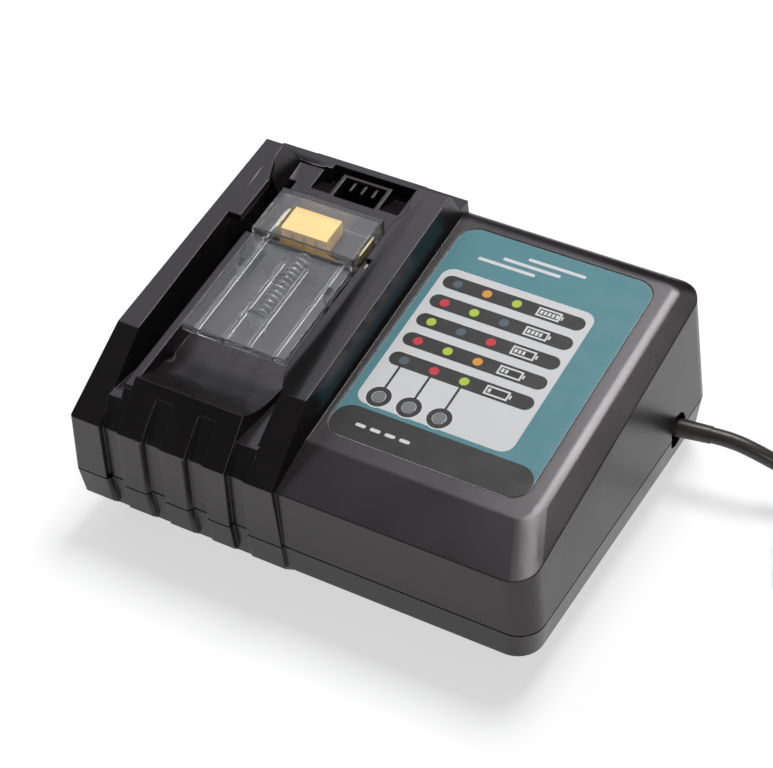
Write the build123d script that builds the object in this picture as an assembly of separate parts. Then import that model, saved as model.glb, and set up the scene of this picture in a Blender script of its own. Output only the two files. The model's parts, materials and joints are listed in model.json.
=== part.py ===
from build123d import *
import math
import os

os.makedirs("parts", exist_ok=True)

# ------------------------------------------------------------------ overall
width = 190.0                        # left to right, X
depth = 151.5                        # front ribs to rear wall, Y
wall = 2.5                           # moulded wall of both shells
clearance = 0.3                      # between separate parts that do not touch
fit = 0.05                           # radial clearance of a shaft in its hole

left = -width / 2
right = width / 2
front = -depth / 2
back = depth / 2

# ------------------------------------------------------------------ heights
foot_height = 3.0
floor_height = foot_height           # underside of the lower housing
skirt_height = 11.3                  # where the lower housing starts to turn in
parting_height = 23.3                # seam between the two shells
slope = 8.26                         # tilt of panel, rails and deck, degrees
crease_level = 58.9                  # heights of sloping planes above the origin
panel_level = 62.2
rail_level = 76.5
deck_level = 71.9
channel_level = 63.4
rear_deck_level = 65.4
groove_level = 60.0
ledge_height = 76.0

rise = math.tan(math.radians(slope))

# ------------------------------------------------------------------ plan of the upper housing
corner_radius = 10.0                 # right hand corners in plan
left_corner_radius = 0.8
right_draft = 0.10                   # lean of the upper walls, mm inwards per mm of height
left_draft = 0.035
rear_draft = 0.02
front_draft = 0.04                   # lean of the front wall under the panel
lower_draft = 0.11                   # lean of the lower housing's walls, going down
chamfer_width = 8.3                  # the lower housing turns in this far below its skirt
rib_depth = 2.4                      # ribs and rails stand proud of the recesses by this
main_setback = 1.25                  # and of the foot of the main front wall by this
rib_width = 9.6
rib_pitch = 18.4
rib_chamfer = 1.3
bay_centre = left + 44.7
block_left = left + 18.1             # deck between the two battery grooves
block_right = left + 67.7
left_rail_inside = left + 13.5
left_rail_lean = 0.136
left_lip_edge = left + 14.9          # lip over the rear part of the left groove
left_lip_front = back - 53.25
left_lip_back = back - 31.75
left_lip_end = back - 19.25
left_rail_top = left + 10.2          # inner edge of the left rail's top
left_wall_foot = left + 15.7         # foot of its slanted rear wall
left_wall_start = back - 26.75
left_rear_notch_left = left + 14.5
left_notch_start = back - 25.25
left_notch_end = back - 18.25
right_rail_inside = left + 75.5
right_lip_edge = left + 70.7
right_lip_front = front + 29.25
right_lip_full = front + 41.75
right_lip_back = back - 32.75
right_lip_step = 2.0
right_lip_end = back - 18.75
lip_thickness = 2.8
lip_notch_y = back - 55.95           # moulding notch through the right lip
lip_notch_width = 4.6
right_rail_foot = left + 89.8        # right face of the right rail at the seam
right_rail_lean = 0.085
rail_back = back - 12.95
rail_end_drop = 5.0
front_face_height = 50.0             # crease between front faces and front slopes
left_rail_bend = front + 33.75
right_rail_bend = front + 28.75
ledge_thickness = 4.3
seam_height = 0.5                    # groove round the foot of the upper housing
seam_depth = 0.9
ledge_left = left + 28.0
trough_width = 3.0
trough_depth = 6.0
bay_ceiling_start = 8.0              # behind the front wall, where the bay's ceiling begins

# ------------------------------------------------------------------ thumb scoop before the terminals
lip_back = front + 15.45
lip_height = 65.6
scoop_left = left + 21.5
scoop_bottom = 59.0
scoop_end = front + 42.75
groove_sill_height = 58.0
rib_groove_end = front + 11.95

# ------------------------------------------------------------------ label panel and indicators
plateau_front = front + 24.75
plateau_back = back - 4.75
plateau_right = right - 13.0
front_ridge_radius = 30.0            # rounds the shoulder below the panel's corners
back_ridge_radius = 15.0
plateau_edge_radius = 12.0
shoulder_inset = 3.5                 # foot of the shoulder, in from the right wall
label_left = left + 89.4
label_right = right - 19.5
label_front = front + 31.55
label_back = back - 9.45
label_corner = 8.0
label_thickness = 0.6
label_recess = 0.8
label_top_level = panel_level - label_recess + label_thickness
indicator_pitch = 12.45
indicator_first = left + 101.1
indicator_row = front + 53.15
lens_diameter = 5.2
lens_length = 9.0
lens_proud = 0.2
lens_gap = 0.2
lens_collar_diameter = 7.4
lens_collar_height = 1.2
lamp_diameter = 4.0
post_hole_depth = 6.0
label_gap = 0.15

# ------------------------------------------------------------------ terminal cover, spring and terminals
cover_width = 44.6
cover_front = back - 106.75
cover_step = back - 55.05
cover_back = back - 33.35
cover_plate_level = 73.4
cover_plate_thickness = 1.8
cover_box_level = 76.3
cover_wall = 1.5
cover_travel = 12.5
cover_rib_height = 1.6
cover_rib_spacing = 16.8
channel_gap = 1.0                    # the walls either side of the spring, under the cover
channel_wall = 0.9
channel_depth = 2.6
channel_short = 6.7                  # they stop this far before the cover's step
boss_ring_y = back - 72.95
boss_ring_diameter = 6.2
spring_diameter = 7.2
spring_wire = 0.6
spring_turns = 14
spring_front = back - 89.25
spring_back = back - 52.75
spring_level = 67.5
leg_spacing = 19.2                   # snap legs that hold the cover down
leg_width = 2.2
leg_length = 4.0
leg_front = back - 72.25
leg_hook = 1.3
leg_hook_height = 1.5
terminal_width = 20.4
terminal_depth = 12.0
terminal_centre = left + 39.8
terminal_front = back - 48.15
terminal_level = 71.2
contact_slot = 1.4
blade_thickness = 0.8
blade_length = 12.0
blade_height = 4.0
blade_spacing = 18.0
blade_front = back - 47.75
terminal_board_level = 53.0
terminal_board_front = back - 52.25
terminal_board_back = back - 32.25
terminal_board_width = 41.0

# ------------------------------------------------------------------ vent and fan
vent_width = 18.4
vent_front = back - 19.45
vent_back = back - 8.75
vent_rim = 1.8
vane_thickness = 1.2
vane_depth = 5.0
vane_pitch = 4.9
fan_size = 40.0
fan_thickness = 14.0
fan_centre_y = back - 28.75
fan_bore = 37.0
rotor_diameter = 36.0
hub_diameter = 17.0
hub_cap = 1.6
fan_axle_diameter = 2.0
blade_count = 7
blade_pitch = 38.0
strut_width = 2.4
bearing_diameter = 4.6
fan_standoff = 2.5
fan_screw_inset = 4.0
duct_wall = 1.6

# ------------------------------------------------------------------ boards and their parts
board_thickness = 1.6
board_height = 12.0
board_left = left + 97.0
board_right = right - 25.0
board_front = front + 13.75
board_back = back - 13.75
small_screw = 2.6
small_screw_head = 4.8
small_screw_head_height = 1.8
board_screw_length = 7.5
fan_screw_length = 15.5
indicator_board_level = 48.2         # top of the board, sloping with the panel
indicator_board_left = left + 91.0
indicator_board_right = left + 136.0
indicator_board_front = front + 39.75
indicator_board_back = front + 66.75
transformer_at = (board_left + 29.0, board_front + 74.0)
transformer_core = (36.0, 12.0, 28.0)
transformer_leg = 10.0
transformer_foot = 4.0
winding_overhang = 8.5
bobbin_wall = 1.0
input_capacitor_at = (board_right - 10.5, board_front + 66.0)
input_capacitor = (18.0, 30.0)
output_capacitor_at = (board_left + 22.0, board_front + 36.0)
output_capacitor = (10.0, 20.0)
primary_sink_at = (board_right - 9.0, board_front + 31.0)
secondary_sink_at = (board_left + 11.0, board_front + 31.0)
heat_sink_length = 40.0
heat_sink_height = 24.0
heat_sink_thickness = 2.4
fin_depth = 5.0
fin_thickness = 1.2
fin_count = 7
line_choke_at = (board_left + 20.0, board_back - 16.0)
line_choke_diameter = 22.0
line_choke_section = 8.0
output_choke_at = (board_left + 42.0, board_front + 32.0)
output_choke_diameter = 20.0
output_choke_section = 7.0
film_capacitor_at = (board_right - 10.0, board_back - 36.0)
film_capacitor = (10.0, 18.0, 15.0)
fuse_at = (board_left + 42.0, board_back - 8.0)
fuse_length = 20.0
fuse_diameter = 5.2
buzzer_at = (board_left + 42.0, board_front + 12.0)
buzzer_diameter = 12.0
buzzer_height = 7.0
control_chip_at = (board_left + 26.0, board_front + 14.0)
control_chip = 9.0
battery_lead_diameter = 2.6
fan_lead_diameter = 1.8
lead_landing_y = 14.0
ribbon_at = (board_left + 25.0, board_front + 49.0)
ribbon_width = 12.0
ribbon_thickness = 0.8
screw_diameter = 3.2
screw_head = 6.4
screw_head_height = 2.4
screw_length = 15.0
screw_seat = 6.5                     # height of the seats of the housing screws
boss_diameter = 8.4
boss_height = 13.0
post_root = 1.2                      # posts run this far into the roof above them
foot_diameter = 12.0
foot_inset_front = 18.2              # behind the chamfer of the tray's front edge
foot_inset = 16.5                    # the housing screws sit above the feet
foot_pocket = 0.8
grille_slot = 2.4
grille_pitch = 5.2
grille_count = 7

# ------------------------------------------------------------------ mains cord
cord_diameter = 6.2
cord_exit_z = 24.0
cord_port_y = back - 29.95
cord_port_width = 12.2
cord_port_height = 15.0
jacket_y = cord_port_y               # the cord's jacket inside the housing
clamp_centre = right - 17.5
clamp_length = 7.0
clamp_width = 17.4
clamp_bar_height = 3.6
flange_face = right - 4.0
flange_thickness = 2.0
relief_root = right - 13.0
relief_tip = (right + 12.0, cord_port_y + 3.2, cord_exit_z + 0.3)
relief_start_diameter = 8.0
relief_end_diameter = 6.8
tie_width = 9.0
tie_gap = 0.3
tie_thickness = 0.8
plug_length = 36.0
plug_width = 35.0
plug_height = 13.5
plug_neck = 22.0
pin_diameter = 4.0
pin_length = 19.0
pin_spacing = 18.6


# ------------------------------------------------------------------ helpers
def level(height, y):
    """Height of a sloping plane, named by its height at the origin."""
    return height + y * rise


def slab(x0, x1, outline):
    """A side view outline of (y, z) points, pulled from x0 to x1."""
    face = Plane.YZ.offset(x0) * Polygon(*outline, align=None)
    return extrude(face, amount=x1 - x0, dir=(1, 0, 0))


def block(x0, x1, y0, y1, z0, z1):
    return Pos((x0 + x1) / 2, (y0 + y1) / 2, (z0 + z1) / 2) * Box(x1 - x0, y1 - y0, z1 - z0)


def sloped(x0, x1, y0, y1, low, high):
    """A block whose top and bottom lie on sloping planes."""
    outline = [
        (y0, level(low, y0)),
        (y1, level(low, y1)),
        (y1, level(high, y1)),
        (y0, level(high, y0)),
    ]
    return slab(x0, x1, outline)


def round_bar(x, y, z0, z1, diameter):
    return Pos(x, y, (z0 + z1) / 2) * Cylinder(diameter / 2, z1 - z0)


def plan_outline(z, inset, front_line, lean=0.0):
    """Plan view of the housing's outside at one height, or of its wall's inside."""
    above = max(z - parting_height, 0)
    below = max(parting_height - z, 0) * lower_draft
    x0 = left + left_draft * above + below + inset
    x1 = right - right_draft * above - below - inset
    y0 = front_line + lean * above + below + inset
    y1 = back - rear_draft * above - below - inset
    outline = Pos((x0 + x1) / 2, (y0 + y1) / 2, z) * Rectangle(x1 - x0, y1 - y0)
    corners = outline.vertices().sort_by(Axis.X)
    rounded = fillet(corners[2:], max(corner_radius - inset, 2.0))
    corners = rounded.vertices().sort_by(Axis.X)
    return fillet(corners[:2], max(left_corner_radius - inset, 0.5))


def body_loft(z0, z1, inset, front_line, lean=0.0):
    return loft([plan_outline(z, inset, front_line, lean) for z in (z0, z1)])


slope_length = math.sqrt(1 + rise * rise)


def on_slope(height):
    return Plane(origin=(0, 0, height), x_dir=(1, 0, 0), z_dir=(0, -rise, 1))


def slope_rectangle(height, x0, x1, y0, y1, radius):
    """A rounded rectangle drawn on a sloping plane, sized by its plan view."""
    centre_x = (x0 + x1) / 2
    centre_y = (y0 + y1) / 2 * slope_length
    shape = RectangleRounded(x1 - x0, (y1 - y0) * slope_length, radius)
    return on_slope(height) * (Pos(centre_x, centre_y) * shape)


def leaning_cut(x_at, z_at, lean, side, height=80.0):
    """Everything to one side of a wall that leans as it rises, for cutting."""
    far = 60.0 * side
    outline = [
        (x_at - lean * (0 - z_at), 0),
        (x_at - lean * (height * 2 - z_at), height * 2),
        (x_at - lean * (height * 2 - z_at) + far, height * 2),
        (x_at - lean * (0 - z_at) + far, 0),
    ]
    face = Plane.XZ * Polygon(*outline, align=None)
    return extrude(face, amount=depth, both=True)


def save(part, name):
    part.label = name
    export_step(part, f"parts/{name}.step")
    return part


main_front = front + main_setback
recess_front = front + rib_depth
fan_base = floor_height + wall + fan_standoff
roof = rail_level + 40
envelope_top = rail_level + 18.5


# ------------------------------------------------------------------ upper housing
def front_slope(crease_y, bend_y, top_level):
    """Side view of a rail: front face, slope, top plane, and its dropped rear end."""
    end = rail_back + rail_end_drop
    return [
        (crease_y, parting_height),
        (crease_y, front_face_height),
        (bend_y, level(top_level, bend_y)),
        (rail_back, level(top_level, rail_back)),
        (end, ledge_height),
        (back, ledge_height),
        (back, parting_height),
    ]


def scoop_profile():
    """Side view of the block in front of the terminals, with the thumb scoop."""
    bottom_y = (lip_back + scoop_end) / 2 + 5
    curve = Spline(
        (lip_back, lip_height),
        (lip_back + 9.0, scoop_bottom + 1.9),
        (bottom_y, scoop_bottom),
        (scoop_end, level(channel_level, scoop_end)),
    )
    edges = Polyline(
        (scoop_end, level(channel_level, scoop_end)),
        (scoop_end, parting_height),
        (front, parting_height),
        (front, front_face_height),
        (lip_back, lip_height),
    )
    return make_face([curve, *edges.edges()])


def panel_shoulder():
    """Everything under the raised label panel and the sloping shoulder round it."""
    start = bay_centre
    reach = right + 35.0
    crease_front = main_front + front_draft * (level(crease_level, main_front) - parting_height)
    front_fall = rise + (panel_level - crease_level) / (plateau_front - crease_front)
    back_fall = (panel_level - crease_level) / (back - plateau_back) - rise
    side_fall = (panel_level - crease_level) / (right - shoulder_inset - plateau_right)
    top_front = level(panel_level, plateau_front)
    top_back = level(panel_level, plateau_back)
    beyond = 20.0
    lengthways = slab(start, reach, [
        (crease_front - beyond, parting_height),
        (crease_front - beyond, top_front - front_fall * (plateau_front - crease_front + beyond)),
        (plateau_front, top_front),
        (plateau_back, top_back),
        (back + beyond / 2, top_back - back_fall * (back - plateau_back + beyond / 2)),
        (back + beyond / 2, parting_height),
    ])

    def section(y):
        outline = [
            (start, parting_height - 10),
            (reach, parting_height - 10),
            (reach, level(panel_level, y) - side_fall * (reach - plateau_right)),
            (plateau_right, level(panel_level, y)),
            (start, level(panel_level, y)),
        ]
        return Plane.XZ.offset(-y) * Polygon(*outline, align=None)

    raised = lengthways & loft([section(front - 2 * beyond), section(back + 2 * beyond)], ruled=True)
    raised = fillet(shoulder_ridge(raised, plateau_front), front_ridge_radius)
    raised = fillet(shoulder_ridge(raised, plateau_back), back_ridge_radius)
    top = [f for f in raised.faces()
           if abs(f.center().Z - level(panel_level, f.center().Y)) < 0.02][0]
    edges = [e for e in top.edges() if e.center().X > start + 1]
    return fillet(edges, plateau_edge_radius)


def shoulder_ridge(raised, y):
    """The ridge that runs down from one corner of the panel."""
    corner = Vector(plateau_right, y, level(panel_level, y))
    return [e for e in raised.edges()
            if min((e.start_point() - corner).length, (e.end_point() - corner).length) < 0.1
            and max(e.start_point().X, e.end_point().X) > plateau_right + 1]


def bay_solids():
    outer = []
    strip_front = (deck_level - front_face_height + front) / (1 - rise)
    deck_outline = [
        (front, parting_height),
        (front, front_face_height),
        (strip_front, level(deck_level, strip_front)),
        (cover_step, level(deck_level, cover_step)),
        (cover_step, level(rear_deck_level, cover_step)),
        (back, level(rear_deck_level, back)),
        (back, parting_height),
    ]
    outer.append(slab(block_left, scoop_left, deck_outline))
    outer.append(extrude(Plane.YZ.offset(scoop_left) * scoop_profile(),
                         amount=block_right - scoop_left, dir=(1, 0, 0)))
    outer.append(slab(scoop_left, block_right, [
        (scoop_end - 0.01, parting_height),
        (scoop_end - 0.01, level(channel_level, scoop_end)),
        (cover_step + 4, level(channel_level, cover_step + 4)),
        (cover_step + 4, level(rear_deck_level, cover_step + 4)),
        (back, level(rear_deck_level, back)),
        (back, parting_height),
    ]))
    floor_outline = [
        (recess_front, parting_height),
        (recess_front, front_face_height - rib_depth),
        (recess_front + 7.0, groove_sill_height),
        (scoop_end, level(groove_level, scoop_end)),
        (rail_back, level(groove_level, rail_back)),
        (back, level(groove_level, back)),
        (back, parting_height),
    ]
    outer.append(slab(left_rail_inside - 1.1, block_left + 1, floor_outline))
    outer.append(slab(block_right - 1, right_rail_inside + 1, floor_outline))
    outer.append(slab(left, left_rail_inside, front_slope(front, left_rail_bend, rail_level))
                 - leaning_cut(left_rail_inside, front_face_height, left_rail_lean, 1))
    outer.append(lip([
        (left_rail_top - 1, left_lip_front),
        (left_lip_edge, left_lip_front),
        (left_lip_edge, left_lip_back),
        (left_lip_edge - 1.2, left_lip_back + 2.5),
        (left_rail_top, left_lip_end),
        (left_rail_top - 1, left_lip_end),
    ]))
    outer.append(left_rear_wall())
    outer.append(slab(right_rail_inside, right_rail_foot,
                      front_slope(front, right_rail_bend, rail_level)))
    outer.append(lip([
        (right_rail_inside + 1, right_lip_front),
        (right_rail_inside - 0.9, right_lip_front + 2.0),
        (right_lip_edge + 1.4, right_lip_full - 5.5),
        (right_lip_edge, right_lip_full),
        (right_lip_edge, right_lip_back),
        (right_lip_edge + right_lip_step, right_lip_back + 4),
        (right_lip_edge + right_lip_step, right_lip_back + 8),
        (right_lip_edge, right_lip_end),
        (right_lip_edge, rail_back),
        (right_rail_inside + 1, rail_back),
    ]) - block(right_lip_edge - 1, right_lip_edge + 2.6, lip_notch_y - lip_notch_width / 2,
               lip_notch_y + lip_notch_width / 2, 0, roof))
    outer.append(block(left + wall, ledge_left, rail_back + rail_end_drop, back,
                       parting_height, ledge_height))
    outer.append(block(ledge_left - 1, right_rail_foot, back - ledge_thickness, back,
                       parting_height, ledge_height))
    notch = block(left_rear_notch_left, block_left + 1, left_notch_start - 2, left_notch_end, 0, roof)
    outer.append(sloped(left + 4, block_left + 1, left_notch_start, rail_back + rail_end_drop,
                        groove_level - 1, rear_deck_level) - notch)
    outer.append(sloped(block_right - 1, right_rail_inside + 1, left_wall_start + 1,
                        rail_back + rail_end_drop, groove_level - 1, rear_deck_level))
    solid = outer[0]
    for piece in outer[1:]:
        solid = solid + piece
    return solid - leaning_cut(right_rail_foot, parting_height, right_rail_lean, 1)


def lip(points):
    """A lip at the top of a rail, drawn in plan."""
    outline = extrude(Plane.XY * Polygon(*points, align=None), amount=roof, dir=(0, 0, 1))
    band = sloped(left, right, front, back, rail_level - lip_thickness, rail_level)
    return outline & band


def left_rear_wall():
    """Slanted inner wall at the rear of the left rail."""
    outline = [
        (left_rail_top - 3, parting_height),
        (left_wall_foot, parting_height),
        (left_wall_foot, level(rear_deck_level, left_wall_start) - 1),
        (left_rail_top, level(rail_level, rail_back)),
        (left_rail_top - 3, level(rail_level, rail_back)),
    ]
    face = Plane.XZ.offset(-left_wall_start) * Polygon(*outline, align=None)
    wall_block = extrude(face, amount=back - left_wall_start, dir=(0, 1, 0))
    return wall_block & slab(left, right, front_slope(front, left_rail_bend, rail_level))


def rib_starts():
    """Left edges of the three ribs on the block's front."""
    return [bay_centre + (i - 1) * rib_pitch - rib_width / 2 for i in range(3)]


def lower_lean(z):
    """How far the lower housing's walls have leaned in at a height."""
    return (parting_height - z) * lower_draft


def rib_recess(x0, x1):
    """A recess between two ribs, with a chamfer on its left, dying out up the slope."""
    slope_top = front_face_height + (rib_groove_end - front)
    outline = [
        (front - 2, floor_height),
        (recess_front + lower_lean(floor_height), floor_height),
        (recess_front, parting_height),
        (recess_front, front_face_height - rib_depth),
        (rib_groove_end, slope_top),
        (rib_groove_end - 6, slope_top + 2),
        (front - 2, front_face_height),
    ]
    recess = slab(x0 + rib_chamfer, x1, outline)
    wedge = [(x0, front - 0.01), (x0 + rib_chamfer + 0.01, front - 0.01),
             (x0 + rib_chamfer + 0.01, recess_front)]
    face = Plane.XY.offset(floor_height - 1) * Polygon(*wedge, align=None)
    chamfer = extrude(face, amount=front_face_height - floor_height, dir=(0, 0, 1))
    return recess + chamfer


def recess_spans():
    """Left and right edges of the four recesses beside the ribs."""
    starts = rib_starts()
    ends = [start + rib_width for start in starts]
    return list(zip([left_rail_inside, *ends], [*starts, right_rail_inside]))


def front_recesses():
    spans = recess_spans()
    cuts = rib_recess(*spans[0])
    for span in spans[1:3]:
        cuts = cuts + rib_recess(*span)
    low_cut = [
        (front - 2, floor_height),
        (recess_front + lower_lean(floor_height), floor_height),
        (recess_front, parting_height),
        (recess_front, front_face_height + 2.0),
        (front - 2, front_face_height + 2.0),
    ]
    return cuts + slab(*spans[3], low_cut)


def rear_pockets():
    """Sloping pockets either side of the vent, and the trough behind it."""
    trough_front = back - ledge_thickness - trough_width
    cuts = sloped(ledge_left, block_right - 0.7, trough_front, back - ledge_thickness,
                  rear_deck_level - trough_depth, roof)
    for side in (-1, 1):
        x_in = bay_centre + side * (vent_width / 2 + vent_rim)
        x_out = x_in + side * 8.6
        outline = [
            (vent_front + 0.4, level(rear_deck_level, vent_front)),
            (trough_front, level(rear_deck_level - trough_depth, trough_front)),
            (trough_front + 0.5, level(rear_deck_level + 3, trough_front)),
            (vent_front, level(rear_deck_level + 3, vent_front)),
        ]
        cuts = cuts + slab(min(x_in, x_out), max(x_in, x_out), outline)
    return cuts


def bay_ceiling(y):
    """Height of the ceiling under the bay, which rises evenly from front to back."""
    front_y = recess_front + bay_ceiling_start
    front_z = front_face_height - rib_depth
    back_z = level(groove_level - wall, back)
    return front_z + (back_z - front_z) * (y - front_y) / (back - front_y)


def housing_cavity():
    """The hollow inside the upper housing."""
    envelope = body_loft(parting_height - 1, envelope_top, wall, main_front, front_draft)
    panel_space = slab(right_rail_foot - 6.8, right, [
        (front, parting_height - 1),
        (front, level(crease_level - wall - 0.3, front)),
        (back, level(crease_level - wall - 0.3, back)),
        (back, parting_height - 1),
    ])
    plateau_space = sloped(right_rail_foot + 2.2, plateau_right - 3, plateau_front + 6, plateau_back - 3,
                           crease_level - 5, panel_level - wall - 0.2)
    bay_space = slab(left, right_rail_foot - 5.8, [
        (front, parting_height - 1),
        (recess_front + wall, parting_height - 1),
        (recess_front + wall, front_face_height - rib_depth - 4),
        (recess_front + bay_ceiling_start, front_face_height - rib_depth),
        (back, bay_ceiling(back)),
        (back, parting_height - 1),
    ])
    left_rail_space = sloped(left + 4.5, left + 6.5, left_rail_bend + 4, rail_back - 3,
                             groove_level - 6, rail_level - wall)
    right_rail_space = sloped(right_rail_inside + wall, right_rail_foot - 7.3, right_rail_bend + 5,
                              rail_back - 3, groove_level - 6, rail_level - wall)
    block_space = sloped(block_left + wall, block_right - wall, scoop_end + 3, left_wall_start + 1,
                         groove_level - 6, channel_level - wall)
    space = panel_space + bay_space
    for part in (plateau_space, left_rail_space, right_rail_space, block_space):
        space = space + part
    return envelope & space


def foot_places():
    """Feet, with the housing screws above them."""
    x = width / 2 - foot_inset
    front_y = front + foot_inset_front
    back_y = back - foot_inset
    return [(-x, front_y), (x, front_y), (-x, back_y), (x, back_y)]


def cord_port():
    """Oval port of the mains cord, astride the seam in the right wall."""
    outline = RectangleRounded(cord_port_width, cord_port_height, cord_port_width / 2 - 0.01)
    shape = Plane.YZ.offset(right - 8) * (Pos(cord_port_y, cord_exit_z) * outline)
    return extrude(shape, amount=16)


def seam_groove():
    """The thin groove that shows as a line where the two shells meet."""
    low = parting_height - 1
    high = parting_height + seam_height
    core = body_loft(low, high + 1, seam_depth, main_front)
    ribs = block(left, right_rail_foot - seam_depth, front, 0, low, high + 1)
    core = core + (body_loft(low, high + 1, seam_depth, front) & ribs)
    for x0, x1 in recess_spans():
        core = core - block(x0 - seam_depth, x1 + seam_depth, front - 1,
                            recess_front + seam_depth, low - 1, high + 2)
    return block(left - 1, right + 1, front - 1, back + 1, low, high) - core


def make_upper_housing():
    envelope = body_loft(parting_height, envelope_top, 0, main_front, front_draft)
    panel = panel_shoulder()
    panel = panel & envelope
    panel = panel - block(left - 1, right_rail_foot - 7, front - 5, back + 5, 0, 120)
    rib_envelope = body_loft(parting_height, envelope_top, 0, front)
    bay = (bay_solids() & rib_envelope) - front_recesses() - rear_pockets()
    shell = panel + bay - housing_cavity() - seam_groove()
    shell = shell - slope_panel_cut()
    for i in range(3):
        shell = shell - lens_cylinder(i, lens_diameter + 0.3, 12, 0)
    shell = shell - vent_cut() + vent_vanes()
    for x, y in foot_places():
        top = level(crease_level - wall, y) if x > 0 else bay_ceiling(y)
        post = round_bar(x, y, boss_height + clearance, top + post_root, boss_diameter)
        pilot = round_bar(x, y, boss_height, screw_seat + screw_length + 1, screw_diameter + 2 * fit)
        shell = shell + post - pilot
    for x, y in indicator_posts():
        seat = indicator_board_level
        post = sloped_bar(x, y, seat, seat, panel_level - wall + 0.5, 6.0)
        shell = shell + post - sloped_bar(x, y, seat, seat - 1, seat + post_hole_depth,
                                          small_screw + 2 * fit)
    for x, y in terminal_posts():
        seat = terminal_board_level
        post = sloped_bar(x, y, seat, seat, channel_level - wall + 0.5, 6.0)
        shell = shell + post - sloped_bar(x, y, seat, seat - 1, seat + post_hole_depth,
                                          small_screw + 2 * fit)
    shell = shell - terminal_openings()
    return shell - cord_port()


def slope_panel_cut():
    face = slope_rectangle(panel_level - label_recess, label_left, label_right,
                           label_front, label_back, label_corner)
    return extrude(face, amount=3)


def vent_cut():
    return sloped(bay_centre - vent_width / 2, bay_centre + vent_width / 2,
                  vent_front, vent_back, 30, rear_deck_level + 5)


def vent_vanes():
    vanes = None
    for i in (-1, 0, 1):
        x = bay_centre + i * vane_pitch
        vane = sloped(x - vane_thickness / 2, x + vane_thickness / 2,
                      vent_back - vane_depth, vent_back + 0.5,
                      rear_deck_level - 9, rear_deck_level - 1)
        vanes = vane if vanes is None else vanes + vane
    return vanes


def lens_cylinder(i, diameter, length, lift):
    x = indicator_first + i * indicator_pitch
    y = indicator_row
    place = Plane(origin=(x, y, level(label_top_level, y)), x_dir=(1, 0, 0), z_dir=(0, -rise, 1))
    return place * (Pos(0, 0, lift - length / 2) * Cylinder(diameter / 2, length))


# ------------------------------------------------------------------ lower housing
def lower_body(inset, low, front_line):
    """The tray's solid form: leaning skirt above, chamfer below."""
    skirt = loft([
        plan_outline(skirt_height, inset, front_line),
        plan_outline(parting_height, inset, front_line),
    ])
    share = (skirt_height - low) / (skirt_height - floor_height)
    bottom = plan_outline(skirt_height, inset + chamfer_width * share, front_line)
    turned = loft([
        Pos(0, 0, low - skirt_height) * bottom,
        plan_outline(skirt_height, inset, front_line),
    ])
    return skirt + turned


def make_lower_housing():
    outside = lower_body(0, floor_height, front)
    left_part = block(left - 1, right_rail_foot, front - 1, back + 1, 0, parting_height + 1)
    outside = outside & (lower_body(0, floor_height, main_front) + left_part)
    outside = outside - front_recesses()
    shell = outside - lower_body(wall, floor_height + wall, main_front)
    for x, y in foot_places():
        shell = shell + round_bar(x, y, floor_height + 0.5, boss_height, boss_diameter)
        shell = shell - round_bar(x, y, 0, boss_height + 1, screw_diameter + 2 * clearance)
        shell = shell - round_bar(x, y, 0, screw_seat, screw_head + 2 * clearance)
        shell = shell - round_bar(x, y, 0, floor_height + foot_pocket, foot_diameter + 2 * fit)
    for x, y in board_screw_places():
        shell = shell + round_bar(x, y, floor_height + 0.5, board_height, 6.0)
        shell = shell - round_bar(x, y, board_height - 6.5, board_height + 1,
                                  small_screw + 2 * fit)
    for x, y in fan_corners():
        shell = shell + round_bar(x, y, floor_height + 0.5, fan_base, 6.4)
        shell = shell - round_bar(x, y, floor_height + 1, fan_base + 1, small_screw + 2 * fit)
    for i in range(grille_count):
        x = bay_centre + (i - (grille_count - 1) / 2) * grille_pitch
        half = fan_bore / 2 - 3
        shell = shell - block(x - grille_slot / 2, x + grille_slot / 2,
                              fan_centre_y - half, fan_centre_y + half,
                              0, floor_height + wall + 0.5)
    return shell + clamp_post() - cord_port()


def clamp_post():
    """Cradle that the cord's jacket lies in, with a pillar for a screw at each side."""
    x0 = clamp_centre - clamp_length / 2
    x1 = clamp_centre + clamp_length / 2
    top = cord_exit_z + cord_diameter / 2
    post = block(x0, x1, jacket_y - clamp_width / 2, jacket_y + clamp_width / 2,
                 floor_height + wall - 0.5, top - clearance)
    trench = block(x0 - 1, x1 + 1, jacket_y - cord_diameter / 2 - fit,
                   jacket_y + cord_diameter / 2 + fit, cord_exit_z, top + 1)
    bed = Pos(clamp_centre, jacket_y, cord_exit_z) * (
        Rot(0, 90, 0) * Cylinder(cord_diameter / 2 + fit, clamp_length + 2))
    post = post - trench - bed
    for y in clamp_screw_rows():
        post = post - round_bar(clamp_centre, y, top - 9, top + 1, small_screw + 2 * fit)
    return post


def clamp_screw_rows():
    reach = clamp_width / 2 - 2.4
    return [jacket_y - reach, jacket_y + reach]


def fan_corners():
    half = fan_size / 2 - fan_screw_inset
    return [(bay_centre + sx * half, fan_centre_y + sy * half)
            for sx in (-1, 1) for sy in (-1, 1)]


def board_screw_places():
    return [(x, y) for x in (board_left + 5, board_right - 5)
            for y in (board_front + 5, board_back - 5)]


def indicator_posts():
    return [(indicator_board_left + 3.5, indicator_board_front + 4),
            (indicator_board_right - 3.5, indicator_board_back - 4)]


def terminal_posts():
    x = bay_centre + 11.5
    return [(x, terminal_board_front + 3.2), (x, terminal_board_back - 3.2)]


def sloped_bar(x, y, seat, low, high, diameter):
    """A round bar square to the sloping planes, from one of their levels to another.

    Its axis goes through x and y at the seat level.
    """
    place = Plane(origin=(x, y, level(seat, y)), x_dir=(1, 0, 0), z_dir=(0, -rise, 1))
    length = (high - low) / slope_length
    middle = ((high + low) / 2 - seat) / slope_length
    return place * (Pos(0, 0, middle) * Cylinder(diameter / 2, length))


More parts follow.
